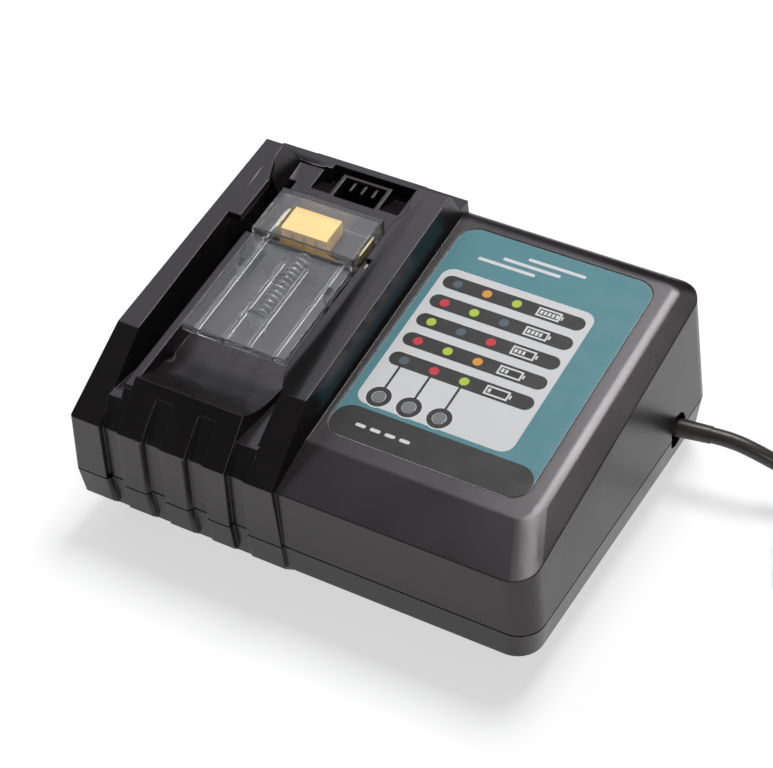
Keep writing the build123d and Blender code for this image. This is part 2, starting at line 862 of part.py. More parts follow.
def terminal_openings():
    """Holes in the deck for the terminal block and the two power blades."""
    x0 = terminal_centre - terminal_width / 2 - clearance
    cuts = sloped(x0, x0 + terminal_width + 2 * clearance, terminal_front - clearance,
                  terminal_front + terminal_depth + clearance, 50, roof)
    for side in (-1, 1):
        x = bay_centre + side * blade_spacing
        half = blade_thickness / 2 + clearance
        cuts = cuts + sloped(x - half, x + half, blade_front - clearance,
                             blade_front + blade_length + clearance, 50, roof)
        leg = bay_centre + side * leg_spacing
        half = leg_width / 2 + clearance
        outside = leg + side * leg_hook
        cuts = cuts + sloped(min(leg - half, outside - half), max(leg + half, outside + half),
                             leg_front - clearance, leg_front + leg_length + cover_travel + clearance,
                             50, channel_level + 1)
    return cuts


# ------------------------------------------------------------------ label and indicators
def make_label_panel():
    outline = slope_rectangle(panel_level - label_recess, label_left + label_gap,
                              label_right - label_gap, label_front + label_gap,
                              label_back - label_gap, label_corner - label_gap)
    plate = extrude(outline, amount=label_thickness)
    for i in range(3):
        plate = plate - lens_cylinder(i, lens_diameter + 2 * fit, 6, 1)
    return plate


def make_lens(i):
    """Clear rod from the label down to its lamp, with a domed top and a collar."""
    rod = lens_cylinder(i, lens_diameter, lens_length, lens_proud)
    rod = fillet(rod.edges().filter_by(GeomType.CIRCLE).sort_by(Axis.Z)[-1:], 0.3)
    x = indicator_first + i * indicator_pitch
    top = panel_level - wall - lens_gap
    collar = sloped_bar(x, indicator_row, label_top_level, top - lens_collar_height, top,
                        lens_collar_diameter)
    return rod + collar


def lens_bottom():
    """Level of the underside of the indicator lenses."""
    return label_top_level + (lens_proud - lens_length) * slope_length


def make_indicator_board():
    board = sloped(indicator_board_left, indicator_board_right, indicator_board_front,
                   indicator_board_back, indicator_board_level - board_thickness,
                   indicator_board_level)
    for x, y in indicator_posts():
        board = board - sloped_bar(x, y, indicator_board_level, indicator_board_level - 3,
                                   indicator_board_level + 1, small_screw + 2 * clearance)
    return board


def make_indicator_lamps():
    lamps = []
    for i in range(3):
        x = indicator_first + i * indicator_pitch
        lamps.append(sloped_bar(x, indicator_row, label_top_level, indicator_board_level,
                                lens_bottom() - lens_gap, lamp_diameter))
    return Compound(children=lamps)


def underside_screws(places, seat):
    """Small screws driven upwards through a sloping board whose top is at the seat level."""
    screws = []
    under = seat - board_thickness
    for x, y in places:
        head = sloped_bar(x, y, seat, under - small_screw_head_height, under, small_screw_head)
        shank = sloped_bar(x, y, seat, under - 0.1, seat + post_hole_depth - 1.0, small_screw)
        screws.append(head + shank)
    return Compound(children=screws)


def make_ribbon_cable():
    y = ribbon_at[1]
    x = ribbon_at[0]
    low = board_height + board_thickness
    high = level(indicator_board_level - board_thickness, y - ribbon_thickness)
    return block(x - ribbon_width / 2, x + ribbon_width / 2, y - ribbon_thickness,
                 y, low, high - fit)


# ------------------------------------------------------------------ terminal cover and its spring
def make_terminal_cover():
    x0 = bay_centre - cover_width / 2
    x1 = bay_centre + cover_width / 2
    under = cover_plate_level - cover_plate_thickness
    cover = sloped(x0, x1, cover_front, cover_step, under, cover_plate_level)
    cover = cover + sloped(x0, x1, cover_step - cover_wall, cover_back,
                           under, cover_box_level)
    cover = cover - sloped(x0 + cover_wall, x1 - cover_wall, cover_step,
                           cover_back - cover_wall, under - 1, cover_box_level - cover_wall)
    skirt_low = rear_deck_level + clearance
    for side in (-1, 1):
        edge = bay_centre + side * (cover_width / 2)
        inner = edge - side * cover_wall
        cover = cover + sloped(min(edge, inner), max(edge, inner), cover_step - cover_wall,
                               cover_back, skirt_low, cover_box_level - 0.1)
        rib = bay_centre + side * cover_rib_spacing
        cover = cover + sloped(rib - 0.5, rib + 0.5, cover_front + 1.0, cover_step,
                               under - cover_rib_height, under + 0.1)
        near = bay_centre + side * (spring_diameter / 2 + channel_gap)
        far = near + side * channel_wall
        cover = cover + sloped(min(near, far), max(near, far), cover_front + 1.0,
                               cover_step - channel_short, under - channel_depth, under + 0.1)
        leg = bay_centre + side * leg_spacing
        half = leg_width / 2
        hook_low = channel_level - wall - clearance - leg_hook_height
        cover = cover + sloped(leg - half, leg + half, leg_front, leg_front + leg_length,
                               hook_low, under + 0.1)
        tip = leg + side * leg_hook
        cover = cover + sloped(min(leg, tip + side * half), max(leg, tip + side * half),
                               leg_front, leg_front + leg_length, hook_low,
                               hook_low + leg_hook_height)
    cover = cover + sloped(x0, x1, cover_back - cover_wall, cover_back,
                           skirt_low, cover_box_level - 0.1)
    cover = cover + sloped(x0, x1, cover_front, cover_front + 1.2, under - 1.0, under + 0.1)
    stop = spring_diameter / 2
    cover = cover + sloped(bay_centre - stop, bay_centre + stop, spring_front - 1.6,
                           spring_front, spring_level - stop, under + 0.1)
    ring = sloped_bar(bay_centre, boss_ring_y, cover_plate_level, cover_plate_level - 0.1,
                      cover_plate_level + 0.35, boss_ring_diameter)
    ring = ring - sloped_bar(bay_centre, boss_ring_y, cover_plate_level, cover_plate_level,
                             cover_plate_level + 1, boss_ring_diameter - 1.6)
    return cover + ring


def make_cover_spring():
    """Compression spring between the cover and the post on the deck."""
    run = (spring_back - spring_front) * slope_length - spring_wire - 2 * fit
    start = Vector(bay_centre, spring_front, level(spring_level, spring_front))
    along = Vector(0, 1, rise).normalized()
    place = Plane(origin=start + along * (spring_wire / 2 + fit), x_dir=(1, 0, 0), z_dir=along)
    radius = (spring_diameter - spring_wire) / 2
    path = Helix(pitch=run / spring_turns, height=run, radius=radius)
    section = Plane(origin=path @ 0, z_dir=path % 0) * Circle(spring_wire / 2)
    return place * sweep(section, path=path)


# ------------------------------------------------------------------ terminals
def make_terminal_block():
    x0 = terminal_centre - terminal_width / 2
    y1 = terminal_front + terminal_depth
    body = sloped(x0, x0 + terminal_width, terminal_front, y1,
                  terminal_board_level, terminal_level)
    flange_top = channel_level - wall - clearance
    body = body + sloped(x0 - 1.6, x0 + terminal_width + 1.6, terminal_front - 1.6, y1 + 1.6,
                         flange_top - 1.6, flange_top)
    for x in contact_columns():
        half = contact_slot / 2
        body = body - sloped(x - half, x + half, terminal_front - 2, terminal_front + 8,
                             rear_deck_level + 0.6, terminal_level - 1.2)
    return body


def contact_columns():
    pitch = terminal_width / 4
    return [terminal_centre + (i - 1) * pitch for i in range(3)]


def make_signal_contacts():
    contacts = []
    for x in contact_columns():
        contacts.append(sloped(x - 0.3, x + 0.3, terminal_front + 2.5, terminal_front + 7.9,
                               rear_deck_level + 0.7, terminal_level - 1.4))
    return Compound(children=contacts)


def make_blade(side):
    x = bay_centre + side * blade_spacing
    half = blade_thickness / 2
    blade = sloped(x - half, x + half, blade_front, blade_front + blade_length,
                   terminal_board_level, rear_deck_level + blade_height)
    return chamfer(blade.edges().filter_by(Axis.X).sort_by(Axis.Z)[-2:], 0.8)


def make_terminal_board():
    half = terminal_board_width / 2
    board = sloped(bay_centre - half, bay_centre + half, terminal_board_front,
                   terminal_board_back, terminal_board_level - board_thickness,
                   terminal_board_level)
    for x, y in terminal_posts():
        board = board - sloped_bar(x, y, terminal_board_level, terminal_board_level - 3,
                                   terminal_board_level + 1, small_screw + 2 * clearance)
    return board


# ------------------------------------------------------------------ main board and its parts
board_top = board_height + board_thickness


def make_main_board():
    board = block(board_left, board_right, board_front, board_back, board_height, board_top)
    for x, y in board_screw_places():
        board = board - round_bar(x, y, board_height - 1, board_top + 1,
                                  small_screw + 2 * clearance)
    return board


def downward_screws(places, seat, length, shank, head, head_height):
    screws = []
    for x, y in places:
        screws.append(round_bar(x, y, seat, seat + head_height, head)
                      + round_bar(x, y, seat - length, seat + 0.1, shank))
    return Compound(children=screws)


def transformer_box(dx, dy, z0, z1):
    x, y = transformer_at
    return block(x - dx / 2, x + dx / 2, y - dy / 2, y + dy / 2, z0, z1)


def make_transformer_core():
    wide, deep, tall = transformer_core
    base = board_top + transformer_foot
    leg = transformer_leg
    core = transformer_box(wide, deep, base, base + tall)
    window = transformer_box(wide - leg, deep + 2, base + leg / 2, base + tall - leg / 2)
    centre_leg = transformer_box(leg, deep, base, base + tall)
    return core - window + centre_leg


def make_transformer_bobbin():
    wide, deep, tall = transformer_core
    base = board_top + transformer_foot
    leg = transformer_leg
    gap = 2 * clearance / 3
    low = base + leg / 2 + gap
    high = base + tall - leg / 2 - gap
    span_x = wide - leg - 2 * gap
    span_y = deep + 2 * winding_overhang
    tube = transformer_box(leg + 2 * bobbin_wall + gap, deep + 2 * bobbin_wall + gap, low, high)
    flanges = (transformer_box(span_x, span_y, low, low + bobbin_wall)
               + transformer_box(span_x, span_y, high - bobbin_wall, high))
    bore = transformer_box(leg + gap, deep + gap, low - 1, high + 1)
    bobbin = tube + flanges - bore
    for side in (-1, 1):
        y = transformer_at[1] + side * (deep / 2 + gap + bobbin_wall)
        edge = transformer_at[1] + side * span_y / 2
        bobbin = bobbin + block(transformer_at[0] - span_x / 2, transformer_at[0] + span_x / 2,
                                min(y, edge), max(y, edge), board_top, low + 0.1)
    return bobbin


def make_transformer_winding():
    wide, deep, tall = transformer_core
    base = board_top + transformer_foot
    leg = transformer_leg
    gap = 2 * clearance / 3
    low = base + leg / 2 + gap + bobbin_wall + fit
    high = base + tall - leg / 2 - gap - bobbin_wall - fit
    inner_x = leg + 2 * bobbin_wall + gap + 2 * fit
    inner_y = deep + 2 * bobbin_wall + gap + 2 * fit
    outer_x = wide - leg - 6 * gap
    outer_y = deep + 2 * winding_overhang - 4 * gap
    x, y = transformer_at
    outline = RectangleRounded(outer_x, outer_y, 4.5) - Rectangle(inner_x, inner_y)
    return extrude(Pos(x, y, low) * outline, amount=high - low)


def can_capacitor(x, y, diameter, height):
    """Upright electrolytic can with the rolled groove near its foot."""
    can = round_bar(x, y, board_top, board_top + height, diameter)
    groove = round_bar(x, y, board_top + 2.6, board_top + 3.6, diameter + 2)
    groove = groove - round_bar(x, y, board_top + 2, board_top + 4, diameter - 1.2)
    return fillet((can - groove).edges().filter_by(GeomType.CIRCLE).sort_by(Axis.Z)[-1:], 0.8)


def make_output_capacitors():
    x, y = output_capacitor_at
    diameter, height = output_capacitor
    return Compound(children=[can_capacitor(x, y, diameter, height),
                              can_capacitor(x, y - diameter - 2, diameter, height)])


def heat_sink(x, y, side):
    """Upright plate with fins on one side."""
    half = heat_sink_length / 2
    plate = block(x - heat_sink_thickness / 2, x + heat_sink_thickness / 2, y - half, y + half,
                  board_top, board_top + heat_sink_height)
    root = x + side * heat_sink_thickness / 2
    tip = root + side * fin_depth
    for i in range(fin_count):
        fin_y = y - half + fin_thickness / 2 + i * (heat_sink_length - fin_thickness) / (fin_count - 1)
        plate = plate + block(min(root, tip), max(root, tip), fin_y - fin_thickness / 2,
                              fin_y + fin_thickness / 2, board_top, board_top + heat_sink_height)
    return plate


def tab_package(x, y, side):
    """Transistor package bolted to a heat sink, with three legs to the board."""
    face = x + side * heat_sink_thickness / 2
    body_top = board_top + 19.0
    body_low = board_top + 6.0
    far = face + side * 4.4
    package = block(min(face, far), max(face, far), y - 5, y + 5, body_low, body_top)
    middle = (face + far) / 2
    for i in (-1, 0, 1):
        leg = y + i * 2.54
        package = package + block(middle - 0.4, middle + 0.4, leg - 0.4, leg + 0.4,
                                  board_top, body_low + 0.1)
    return package


def make_line_choke():
    """Toroidal choke standing upright on the board."""
    x, y = line_choke_at
    radius = line_choke_diameter / 2
    ring = Torus(radius - line_choke_section / 2, line_choke_section / 2)
    return Pos(x, y, board_top + radius) * (Rot(90, 0, 0) * ring)


def make_output_choke():
    x, y = output_choke_at
    tall = output_choke_section
    radius = output_choke_diameter / 2
    ring = round_bar(x, y, board_top, board_top + tall, 2 * radius)
    ring = ring - round_bar(x, y, board_top - 1, board_top + tall + 1, 2 * (radius - tall))
    return fillet(ring.edges().filter_by(GeomType.CIRCLE), 1.6)


def make_film_capacitor():
    x, y = film_capacitor_at
    dx, dy, dz = film_capacitor
    body = block(x - dx / 2, x + dx / 2, y - dy / 2, y + dy / 2, board_top, board_top + dz)
    return fillet(body.edges().filter_by(Axis.Z), 1.0)


def make_fuse():
    """Glass fuse lying in its two spring clips."""
    x, y = fuse_at
    z = board_top + fuse_diameter / 2 + 1.2
    fuse = Pos(x, y, z) * (Rot(0, 90, 0) * Cylinder(fuse_diameter / 2, fuse_length))
    for side in (-1, 1):
        end = x + side * (fuse_length / 2 - 3)
        fuse = fuse + block(end - 2, end + 2, y - fuse_diameter / 2 - 0.6,
                            y + fuse_diameter / 2 + 0.6, board_top, z)
    return fuse


def make_buzzer():
    x, y = buzzer_at
    body = round_bar(x, y, board_top, board_top + buzzer_height, buzzer_diameter)
    return body - round_bar(x, y, board_top + buzzer_height - 2, board_top + buzzer_height + 1, 2.4)


def make_control_chip():
    x, y = control_chip_at
    half = control_chip / 2
    chip = block(x - half, x + half, y - half, y + half, board_top, board_top + 2.0)
    return chamfer(chip.faces().sort_by(Axis.Z)[-1].edges(), 0.3)


def make_mains_connector():
    x1 = board_right - 2
    x0 = x1 - 10
    return block(x0, x1, jacket_y - 7, jacket_y + 7, board_top, cord_exit_z + 3)


# ------------------------------------------------------------------ leads inside
def lead(points, diameter, bend):
    """A round lead along straight runs joined by arcs."""
    path = FilletPolyline(*points, radius=bend)
    section = Plane(origin=path @ 0, z_dir=path % 0) * Circle(diameter / 2)
    return sweep(section, path=path)


def make_battery_lead(row):
    x = bay_centre + terminal_board_width / 2 - 4
    y = terminal_board_front + 5 + row * 6
    start = level(terminal_board_level - board_thickness, y) - 0.4
    end_x = board_left + 6
    end_y = lead_landing_y + row * 6
    sweep_height = 34.0
    return lead([(x, y, start), (x, y, sweep_height), (end_x, end_y, sweep_height - 6),
                 (end_x, end_y, board_top)], battery_lead_diameter, 5.0)


def make_fan_lead():
    x0 = bay_centre + fan_size / 2
    z = fan_base + fan_thickness / 2
    end_x = board_left + 6
    end_y = lead_landing_y - 12
    return lead([(x0, fan_centre_y, z), (x0 + 10, fan_centre_y, z), (end_x, end_y, z + 10),
                 (end_x, end_y, board_top)], fan_lead_diameter, 3.5)


# ------------------------------------------------------------------ fan and duct
def fan_block(half, z0, z1):
    return block(bay_centre - half, bay_centre + half, fan_centre_y - half,
                 fan_centre_y + half, z0, z1)


def fan_bar(z0, z1, diameter):
    return round_bar(bay_centre, fan_centre_y, z0, z1, diameter)


fan_top = fan_base + fan_thickness
hub_base_top = fan_base + hub_cap
rotor_low = hub_base_top + 0.8
rotor_high = fan_top - 1.6


def make_fan_frame():
    frame = fan_block(fan_size / 2, fan_base, fan_top)
    frame = fillet(frame.edges().filter_by(Axis.Z), 2.5)
    frame = frame - fan_bar(fan_base - 1, fan_top + 1, fan_bore)
    for angle in (0, 90):
        strut = Box(fan_bore + 1, strut_width, hub_cap)
        frame = frame + Pos(bay_centre, fan_centre_y, fan_base + hub_cap / 2) * (
            Rot(0, 0, angle) * strut)
    frame = frame + fan_bar(fan_base, hub_base_top, hub_diameter)
    tube = fan_bar(hub_base_top - 0.1, rotor_high - hub_cap - 0.6, bearing_diameter)
    frame = frame + tube - fan_bar(hub_base_top - 0.6, fan_top, fan_axle_diameter + 2 * fit)
    for x, y in fan_corners():
        frame = frame - round_bar(x, y, fan_base - 1, fan_top + 1, small_screw + 2 * clearance)
        frame = frame - round_bar(x, y, fan_top - small_screw_head_height - 0.2, fan_top + 1,
                                  small_screw_head + clearance)
    return frame


def make_fan_coil():
    coil = fan_bar(hub_base_top, rotor_high - hub_cap - 1.0, hub_diameter - 2 * hub_cap - 1.6)
    return coil - fan_bar(fan_base, fan_top, bearing_diameter + 2 * fit)


def make_fan_rotor():
    cup = fan_bar(rotor_low, rotor_high, hub_diameter)
    cup = cup - fan_bar(rotor_low - 1, rotor_high - hub_cap, hub_diameter - 2 * hub_cap)
    rotor = cup + fan_bar(hub_base_top - 0.4, rotor_high - 0.1, fan_axle_diameter)
    span = (rotor_diameter - hub_diameter) / 2 + 1.2
    tall = rotor_high - rotor_low
    envelope = fan_bar(rotor_low + 0.2, rotor_high - 0.2, rotor_diameter)
    envelope = envelope - fan_bar(rotor_low - 1, rotor_high + 1, hub_diameter - 1.0)
    for i in range(blade_count):
        paddle = Box(span, tall * 1.6, 1.1)
        paddle = Rot(0, 0, i * 360 / blade_count) * (
            Pos(hub_diameter / 2 - 0.6 + span / 2, 0, 0) * (Rot(blade_pitch, 0, 0) * paddle))
        middle = (rotor_low + rotor_high) / 2
        rotor = rotor + ((Pos(bay_centre, fan_centre_y, middle) * paddle) & envelope)
    return rotor


def make_air_duct():
    """Hollow duct that carries the fan's air up to the vent."""
    top = level(groove_level - wall, vent_front - duct_wall) - clearance - 1.5

    def skin(inset, extra):
        low_side = fan_size - 2 * inset
        low = Pos(bay_centre, fan_centre_y, fan_top - extra) * Rectangle(low_side, low_side)
        high_x = vent_width + 2 * duct_wall - 2 * inset
        high_y = vent_back - vent_front + 2 * duct_wall - 2 * inset
        high = Pos(bay_centre, (vent_front + vent_back) / 2, top + extra) * Rectangle(high_x, high_y)
        return loft([low, high])

    return skin(0, 0) - skin(duct_wall, 0.01)


# ------------------------------------------------------------------ cord inside the housing
def make_cord_bushing():
    """Oval flange behind the port, and the tapered relief that leaves it."""
    outline = RectangleRounded(cord_port_width + 4, cord_port_height + 4, cord_port_width / 2 + 1.9)
    x0 = flange_face - flange_thickness
    flange = extrude(Plane.YZ.offset(x0) * (Pos(cord_port_y, cord_exit_z) * outline),
                     amount=flange_thickness)
    start = Vector(relief_root + 0.6, jacket_y, cord_exit_z)
    along = (Vector(*relief_tip) - start)
    place = Plane(origin=start, z_dir=along.normalized())
    cone = place * (Pos(0, 0, along.length / 2) * Cone(
        relief_start_diameter / 2, relief_end_diameter / 2, along.length))
    return flange + cone


def make_cord_jacket():
    x0 = board_right + 2
    length = relief_root - x0
    return Pos(x0 + length / 2, jacket_y, cord_exit_z) * (
        Rot(0, 90, 0) * Cylinder(cord_diameter / 2, length))


def make_mains_conductors():
    x0 = board_right - 2
    length = 4.0
    cores = []
    for side in (-1, 1):
        cores.append(Pos(x0 + length / 2, jacket_y + side * 1.6, cord_exit_z) * (
            Rot(0, 90, 0) * Cylinder(1.1, length)))
    return Compound(children=cores)


def make_cord_clamp():
    x0 = clamp_centre - clamp_length / 2
    low = cord_exit_z + cord_diameter / 2
    bar = block(x0, x0 + clamp_length, jacket_y - clamp_width / 2, jacket_y + clamp_width / 2,
                low, low + clamp_bar_height)
    for y in clamp_screw_rows():
        bar = bar - round_bar(clamp_centre, y, low - 1, low + clamp_bar_height + 1,
                              small_screw + 2 * clearance)
    return fillet(bar.edges().filter_by(Axis.X).sort_by(Axis.Z)[-2:], 1.0)


# ------------------------------------------------------------------ cord outside
cord_route = [
    relief_tip,
    (right + 19.44, cord_port_y + 4.176, 24.391),
    (right + 30.2, cord_port_y + 4.8, 22),
    (right + 42.5, cord_port_y + 7.7, 15.6),
    (right + 53.5, cord_port_y + 15.7, 9.2),
    (right + 63.0, cord_port_y + 26.8, 4.8),
    (right + 78.0, cord_port_y + 35.0, cord_diameter / 2),
    (right + 98.0, cord_port_y + 35.5, cord_diameter / 2),
]
coil_centre = (right + 98.0, cord_port_y - 10.8)
coil_mean_radius = 37.0
coil_rows = 4
coil_layers = 2
coil_outer = coil_mean_radius + coil_rows * cord_diameter / 2
coil_inner = coil_mean_radius - coil_rows * cord_diameter / 2
coil_height = coil_layers * cord_diameter
tail_route = [
    (right + 138.1, cord_port_y + 12.35, 9.3),
    (right + 145.2, cord_port_y - 0.3, 8.8),
    (right + 149.2, cord_port_y - 12.3, 7.5),
    (right + 150.4, cord_port_y - 23.8, 6.85),
    (right + 150.4, cord_port_y - 35.3, 6.85),
]


def route_radii(route):
    """The largest arc that the two runs beside each corner allow."""
    radii = []
    for a, b, c in zip(route, route[1:], route[2:]):
        before = Vector(*b) - Vector(*a)
        after = Vector(*c) - Vector(*b)
        half_turn = math.radians(before.get_angle(after)) / 2
        radii.append(0.45 * min(before.length, after.length) / math.tan(half_turn))
    return radii


def make_cord(route, name):
    radii = route_radii(route)
    print(name, "radii", [round(r, 1) for r in radii])
    path = FilletPolyline(*route, radius=radii)
    section = Plane(origin=path @ 0, z_dir=path % 0) * Circle(cord_diameter / 2)
    tube = sweep(section, path=path)
    expected = math.pi * cord_diameter ** 2 / 4 * path.length
    print(name, "length", round(path.length, 1), "volume ratio", round(tube.volume / expected, 4))
    return tube


def make_cord_coil():
    x, y = coil_centre
    ring = round_bar(x, y, 0, coil_height, 2 * coil_outer)
    ring = ring - round_bar(x, y, -1, coil_height + 1, 2 * coil_inner)
    return fillet(ring.edges().filter_by(GeomType.CIRCLE), cord_diameter * 0.4)


def make_coil_tie():
    """Strap wound once round the coil's bundle."""
    x, y = coil_centre
    middle = x - coil_mean_radius
    half = (coil_outer - coil_inner) / 2 + tie_gap
    outer = half + tie_thickness
    strap = block(middle - outer, middle + outer, y - tie_width / 2, y + tie_width / 2,
                  0, coil_height + tie_gap + tie_thickness)
    hollow = block(middle - half, middle + half, y - tie_width, y + tie_width,
                   tie_thickness, coil_height + tie_gap)
    return strap - hollow


def make_plug_body():
    """Flat two pin plug, lying on its side, with its moulded neck."""
    x, y, z = tail_route[-1]
    neck_end = y - plug_neck
    neck = Plane(origin=(x, y, z), z_dir=(0, -1, 0)) * (
        Pos(0, 0, plug_neck / 2) * Cone(cord_diameter / 2 + 0.4, plug_height / 2 - 1.2, plug_neck))
    face = neck_end - plug_length
    outline = Pos(x, (neck_end + face) / 2) * RectangleRounded(plug_width, plug_length, 6.0)
    body = extrude(Pos(0, 0, z - plug_height / 2) * outline, amount=plug_height)
    body = fillet(body.faces().sort_by(Axis.Z)[-1].edges(), 2.0)
    body = fillet(body.faces().sort_by(Axis.Z)[0].edges(), 2.0)
    return body + neck


def make_plug_pins():
    x, y, z = tail_route[-1]
    face = y - plug_neck - plug_length
    pins = []
    for side in (-1, 1):
        pin = Plane(origin=(x + side * pin_spacing / 2, face, z), z_dir=(0, -1, 0)) * (
            Pos(0, 0, pin_length / 2) * Cylinder(pin_diameter / 2, pin_length))
        pins.append(fillet(pin.edges().filter_by(GeomType.CIRCLE).sort_by(Axis.Y)[:1], 1.2))
    return Compound(children=pins)


# ------------------------------------------------------------------ feet and housing screws
def make_rubber_feet():
    feet = []
    for x, y in foot_places():
        foot = round_bar(x, y, 0, floor_height + foot_pocket, foot_diameter)
        feet.append(chamfer(foot.edges().filter_by(GeomType.CIRCLE).sort_by(Axis.Z)[:1], 0.6))
    return Compound(children=feet)


def make_housing_screws():
    screws = []
    for x, y in foot_places():
        head = round_bar(x, y, screw_seat - screw_head_height, screw_seat, screw_head)
        shank = round_bar(x, y, screw_seat - 0.1, screw_seat + screw_length, screw_diameter)
        socket = round_bar(x, y, screw_seat - screw_head_height, screw_seat - 1.0, 2.6)
        screws.append(head + shank - socket)
    return Compound(children=screws)


# ------------------------------------------------------------------ build every piece
save(make_upper_housing(), "upper_housing")
save(make_lower_housing(), "lower_housing")
save(make_label_panel(), "label_panel")
for index, place in enumerate(("left", "middle", "right")):
    save(make_lens(index), f"indicator_lens_{place}")
save(make_indicator_board(), "indicator_board")
save(make_indicator_lamps(), "indicator_lamps")
save(underside_screws(indicator_posts(), indicator_board_level), "indicator_screws")
save(make_ribbon_cable(), "ribbon_cable")

save(make_terminal_cover(), "terminal_cover")
save(make_cover_spring(), "cover_spring")
save(make_terminal_block(), "terminal_block")
save(make_signal_contacts(), "signal_contacts")
save(make_blade(-1), "positive_blade")
save(make_blade(1), "negative_blade")
save(make_terminal_board(), "terminal_board")
save(underside_screws(terminal_posts(), terminal_board_level), "terminal_screws")

save(make_main_board(), "main_board")
save(downward_screws(board_screw_places(), board_top, board_screw_length, small_screw, small_screw_head,
                     small_screw_head_height), "board_screws")
save(make_transformer_core(), "transformer_core")
save(make_transformer_bobbin(), "transformer_bobbin")
save(make_transformer_winding(), "transformer_winding")
save(can_capacitor(*input_capacitor_at, *input_capacitor), "input_capacitor")
save(make_output_capacitors(), "output_capacitors")
save(heat_sink(*primary_sink_at, 1), "heat_sink_primary")
save(heat_sink(*secondary_sink_at, -1), "heat_sink_secondary")
save(tab_package(*primary_sink_at, -1), "power_transistor")
save(tab_package(*secondary_sink_at, 1), "rectifier_diode")
save(make_line_choke(), "line_choke")
save(make_output_choke(), "output_choke")
save(make_film_capacitor(), "film_capacitor")
save(make_fuse(), "fuse")
save(make_buzzer(), "buzzer")
save(make_control_chip(), "control_chip")
save(make_mains_connector(), "mains_connector")

save(make_battery_lead(0), "battery_lead_positive")
save(make_battery_lead(1), "battery_lead_negative")
save(make_fan_lead(), "fan_lead")

save(make_fan_frame(), "fan_frame")
save(make_fan_coil(), "fan_coil")
save(make_fan_rotor(), "fan_rotor")
save(downward_screws(fan_corners(), fan_top - small_screw_head_height - 0.2, fan_screw_length,
                     small_screw, small_screw_head, small_screw_head_height), "fan_screws")
save(make_air_duct(), "air_duct")

save(make_cord_bushing(), "cord_bushing")
save(make_cord_jacket(), "cord_jacket")
save(make_mains_conductors(), "mains_conductors")
save(make_cord_clamp(), "cord_clamp")
save(downward_screws([(clamp_centre, y) for y in clamp_screw_rows()],
                     cord_exit_z + cord_diameter / 2 + clamp_bar_height, 11.0,
                     small_screw, small_screw_head, small_screw_head_height), "clamp_screws")
save(make_cord(cord_route, "mains_cord"), "mains_cord")
save(make_cord_coil(), "cord_coil")
save(make_coil_tie(), "coil_tie")
save(make_cord(tail_route, "cord_tail"), "cord_tail")
save(make_plug_body(), "plug_body")
save(make_plug_pins(), "plug_pins")

save(make_rubber_feet(), "rubber_feet")
save(make_housing_screws(), "housing_screws")
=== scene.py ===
# %% [markdown]
# # A desktop charger for slide-on tool batteries
#
# The construction is already made: every shell, board and screw arrives as a mesh at its true
# size and place. This lesson gives the object its looks. It sets up the camera and the studio
# first, then the mains lead, then the printed label, and last the finishes, one after another.
# Everything is in metres, and a piece is always made where it belongs, so that nothing has to be
# moved afterwards.

import json
import math

import bmesh
import bpy
from mathutils import Matrix, Vector


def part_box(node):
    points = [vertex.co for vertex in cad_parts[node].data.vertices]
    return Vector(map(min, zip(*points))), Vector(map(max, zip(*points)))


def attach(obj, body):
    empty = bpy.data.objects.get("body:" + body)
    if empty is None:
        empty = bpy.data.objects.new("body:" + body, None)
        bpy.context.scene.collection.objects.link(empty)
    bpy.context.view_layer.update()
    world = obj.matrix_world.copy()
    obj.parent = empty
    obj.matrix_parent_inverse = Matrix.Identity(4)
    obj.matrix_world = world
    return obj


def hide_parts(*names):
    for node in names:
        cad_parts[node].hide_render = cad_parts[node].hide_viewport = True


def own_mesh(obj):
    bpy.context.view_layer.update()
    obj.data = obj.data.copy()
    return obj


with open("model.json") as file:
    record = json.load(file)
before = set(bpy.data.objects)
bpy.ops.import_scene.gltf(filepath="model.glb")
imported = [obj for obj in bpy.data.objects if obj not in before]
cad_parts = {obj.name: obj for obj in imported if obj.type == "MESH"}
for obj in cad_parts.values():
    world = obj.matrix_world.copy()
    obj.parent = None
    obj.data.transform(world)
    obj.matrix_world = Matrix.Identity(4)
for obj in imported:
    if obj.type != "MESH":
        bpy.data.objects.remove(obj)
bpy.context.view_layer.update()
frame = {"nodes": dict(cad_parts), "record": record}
mm = 0.001

# %% [markdown]
# ## The camera
#
# A product is usually shown from a little to the right and from above, with a long lens, because
# a long lens keeps parallel edges nearly parallel. A Track To constraint could aim the camera, but
# it leaves no room for a roll. A camera's matrix has its right, up and backward directions as
# columns, so two angles, a small roll and a place are all that it needs.

# %% Camera
azimuth = math.radians(31.59)
elevation = math.radians(41.77)
roll = math.radians(-2.66)
camera_place = Vector((334.24, -550.54, 619.92)) * mm
lens_length = 108.05
sensor_width = 36.0

backward = Vector((math.sin(azimuth) * math.cos(elevation),
                   -math.cos(azimuth) * math.cos(elevation), math.sin(elevation)))
level_right = Vector((0, 0, 1)).cross(backward).normalized()
level_up = backward.cross(level_right)
right = level_right * math.cos(roll) + level_up * math.sin(roll)
up = level_up * math.cos(roll) - level_right * math.sin(roll)
camera_data = bpy.data.cameras.new("camera")
camera_data.lens = lens_length
camera_data.sensor_width = sensor_width
camera_data.sensor_fit = "HORIZONTAL"
camera_data.clip_start = 0.05
camera = bpy.data.objects.new("camera", camera_data)
camera.matrix_world = Matrix.Translation(camera_place) @ (
    Matrix((right, up, backward)).transposed().to_4x4())
bpy.context.scene.collection.objects.link(camera)
bpy.context.scene.camera = camera
print("camera", round(camera_place.length, 3), "m from the origin")

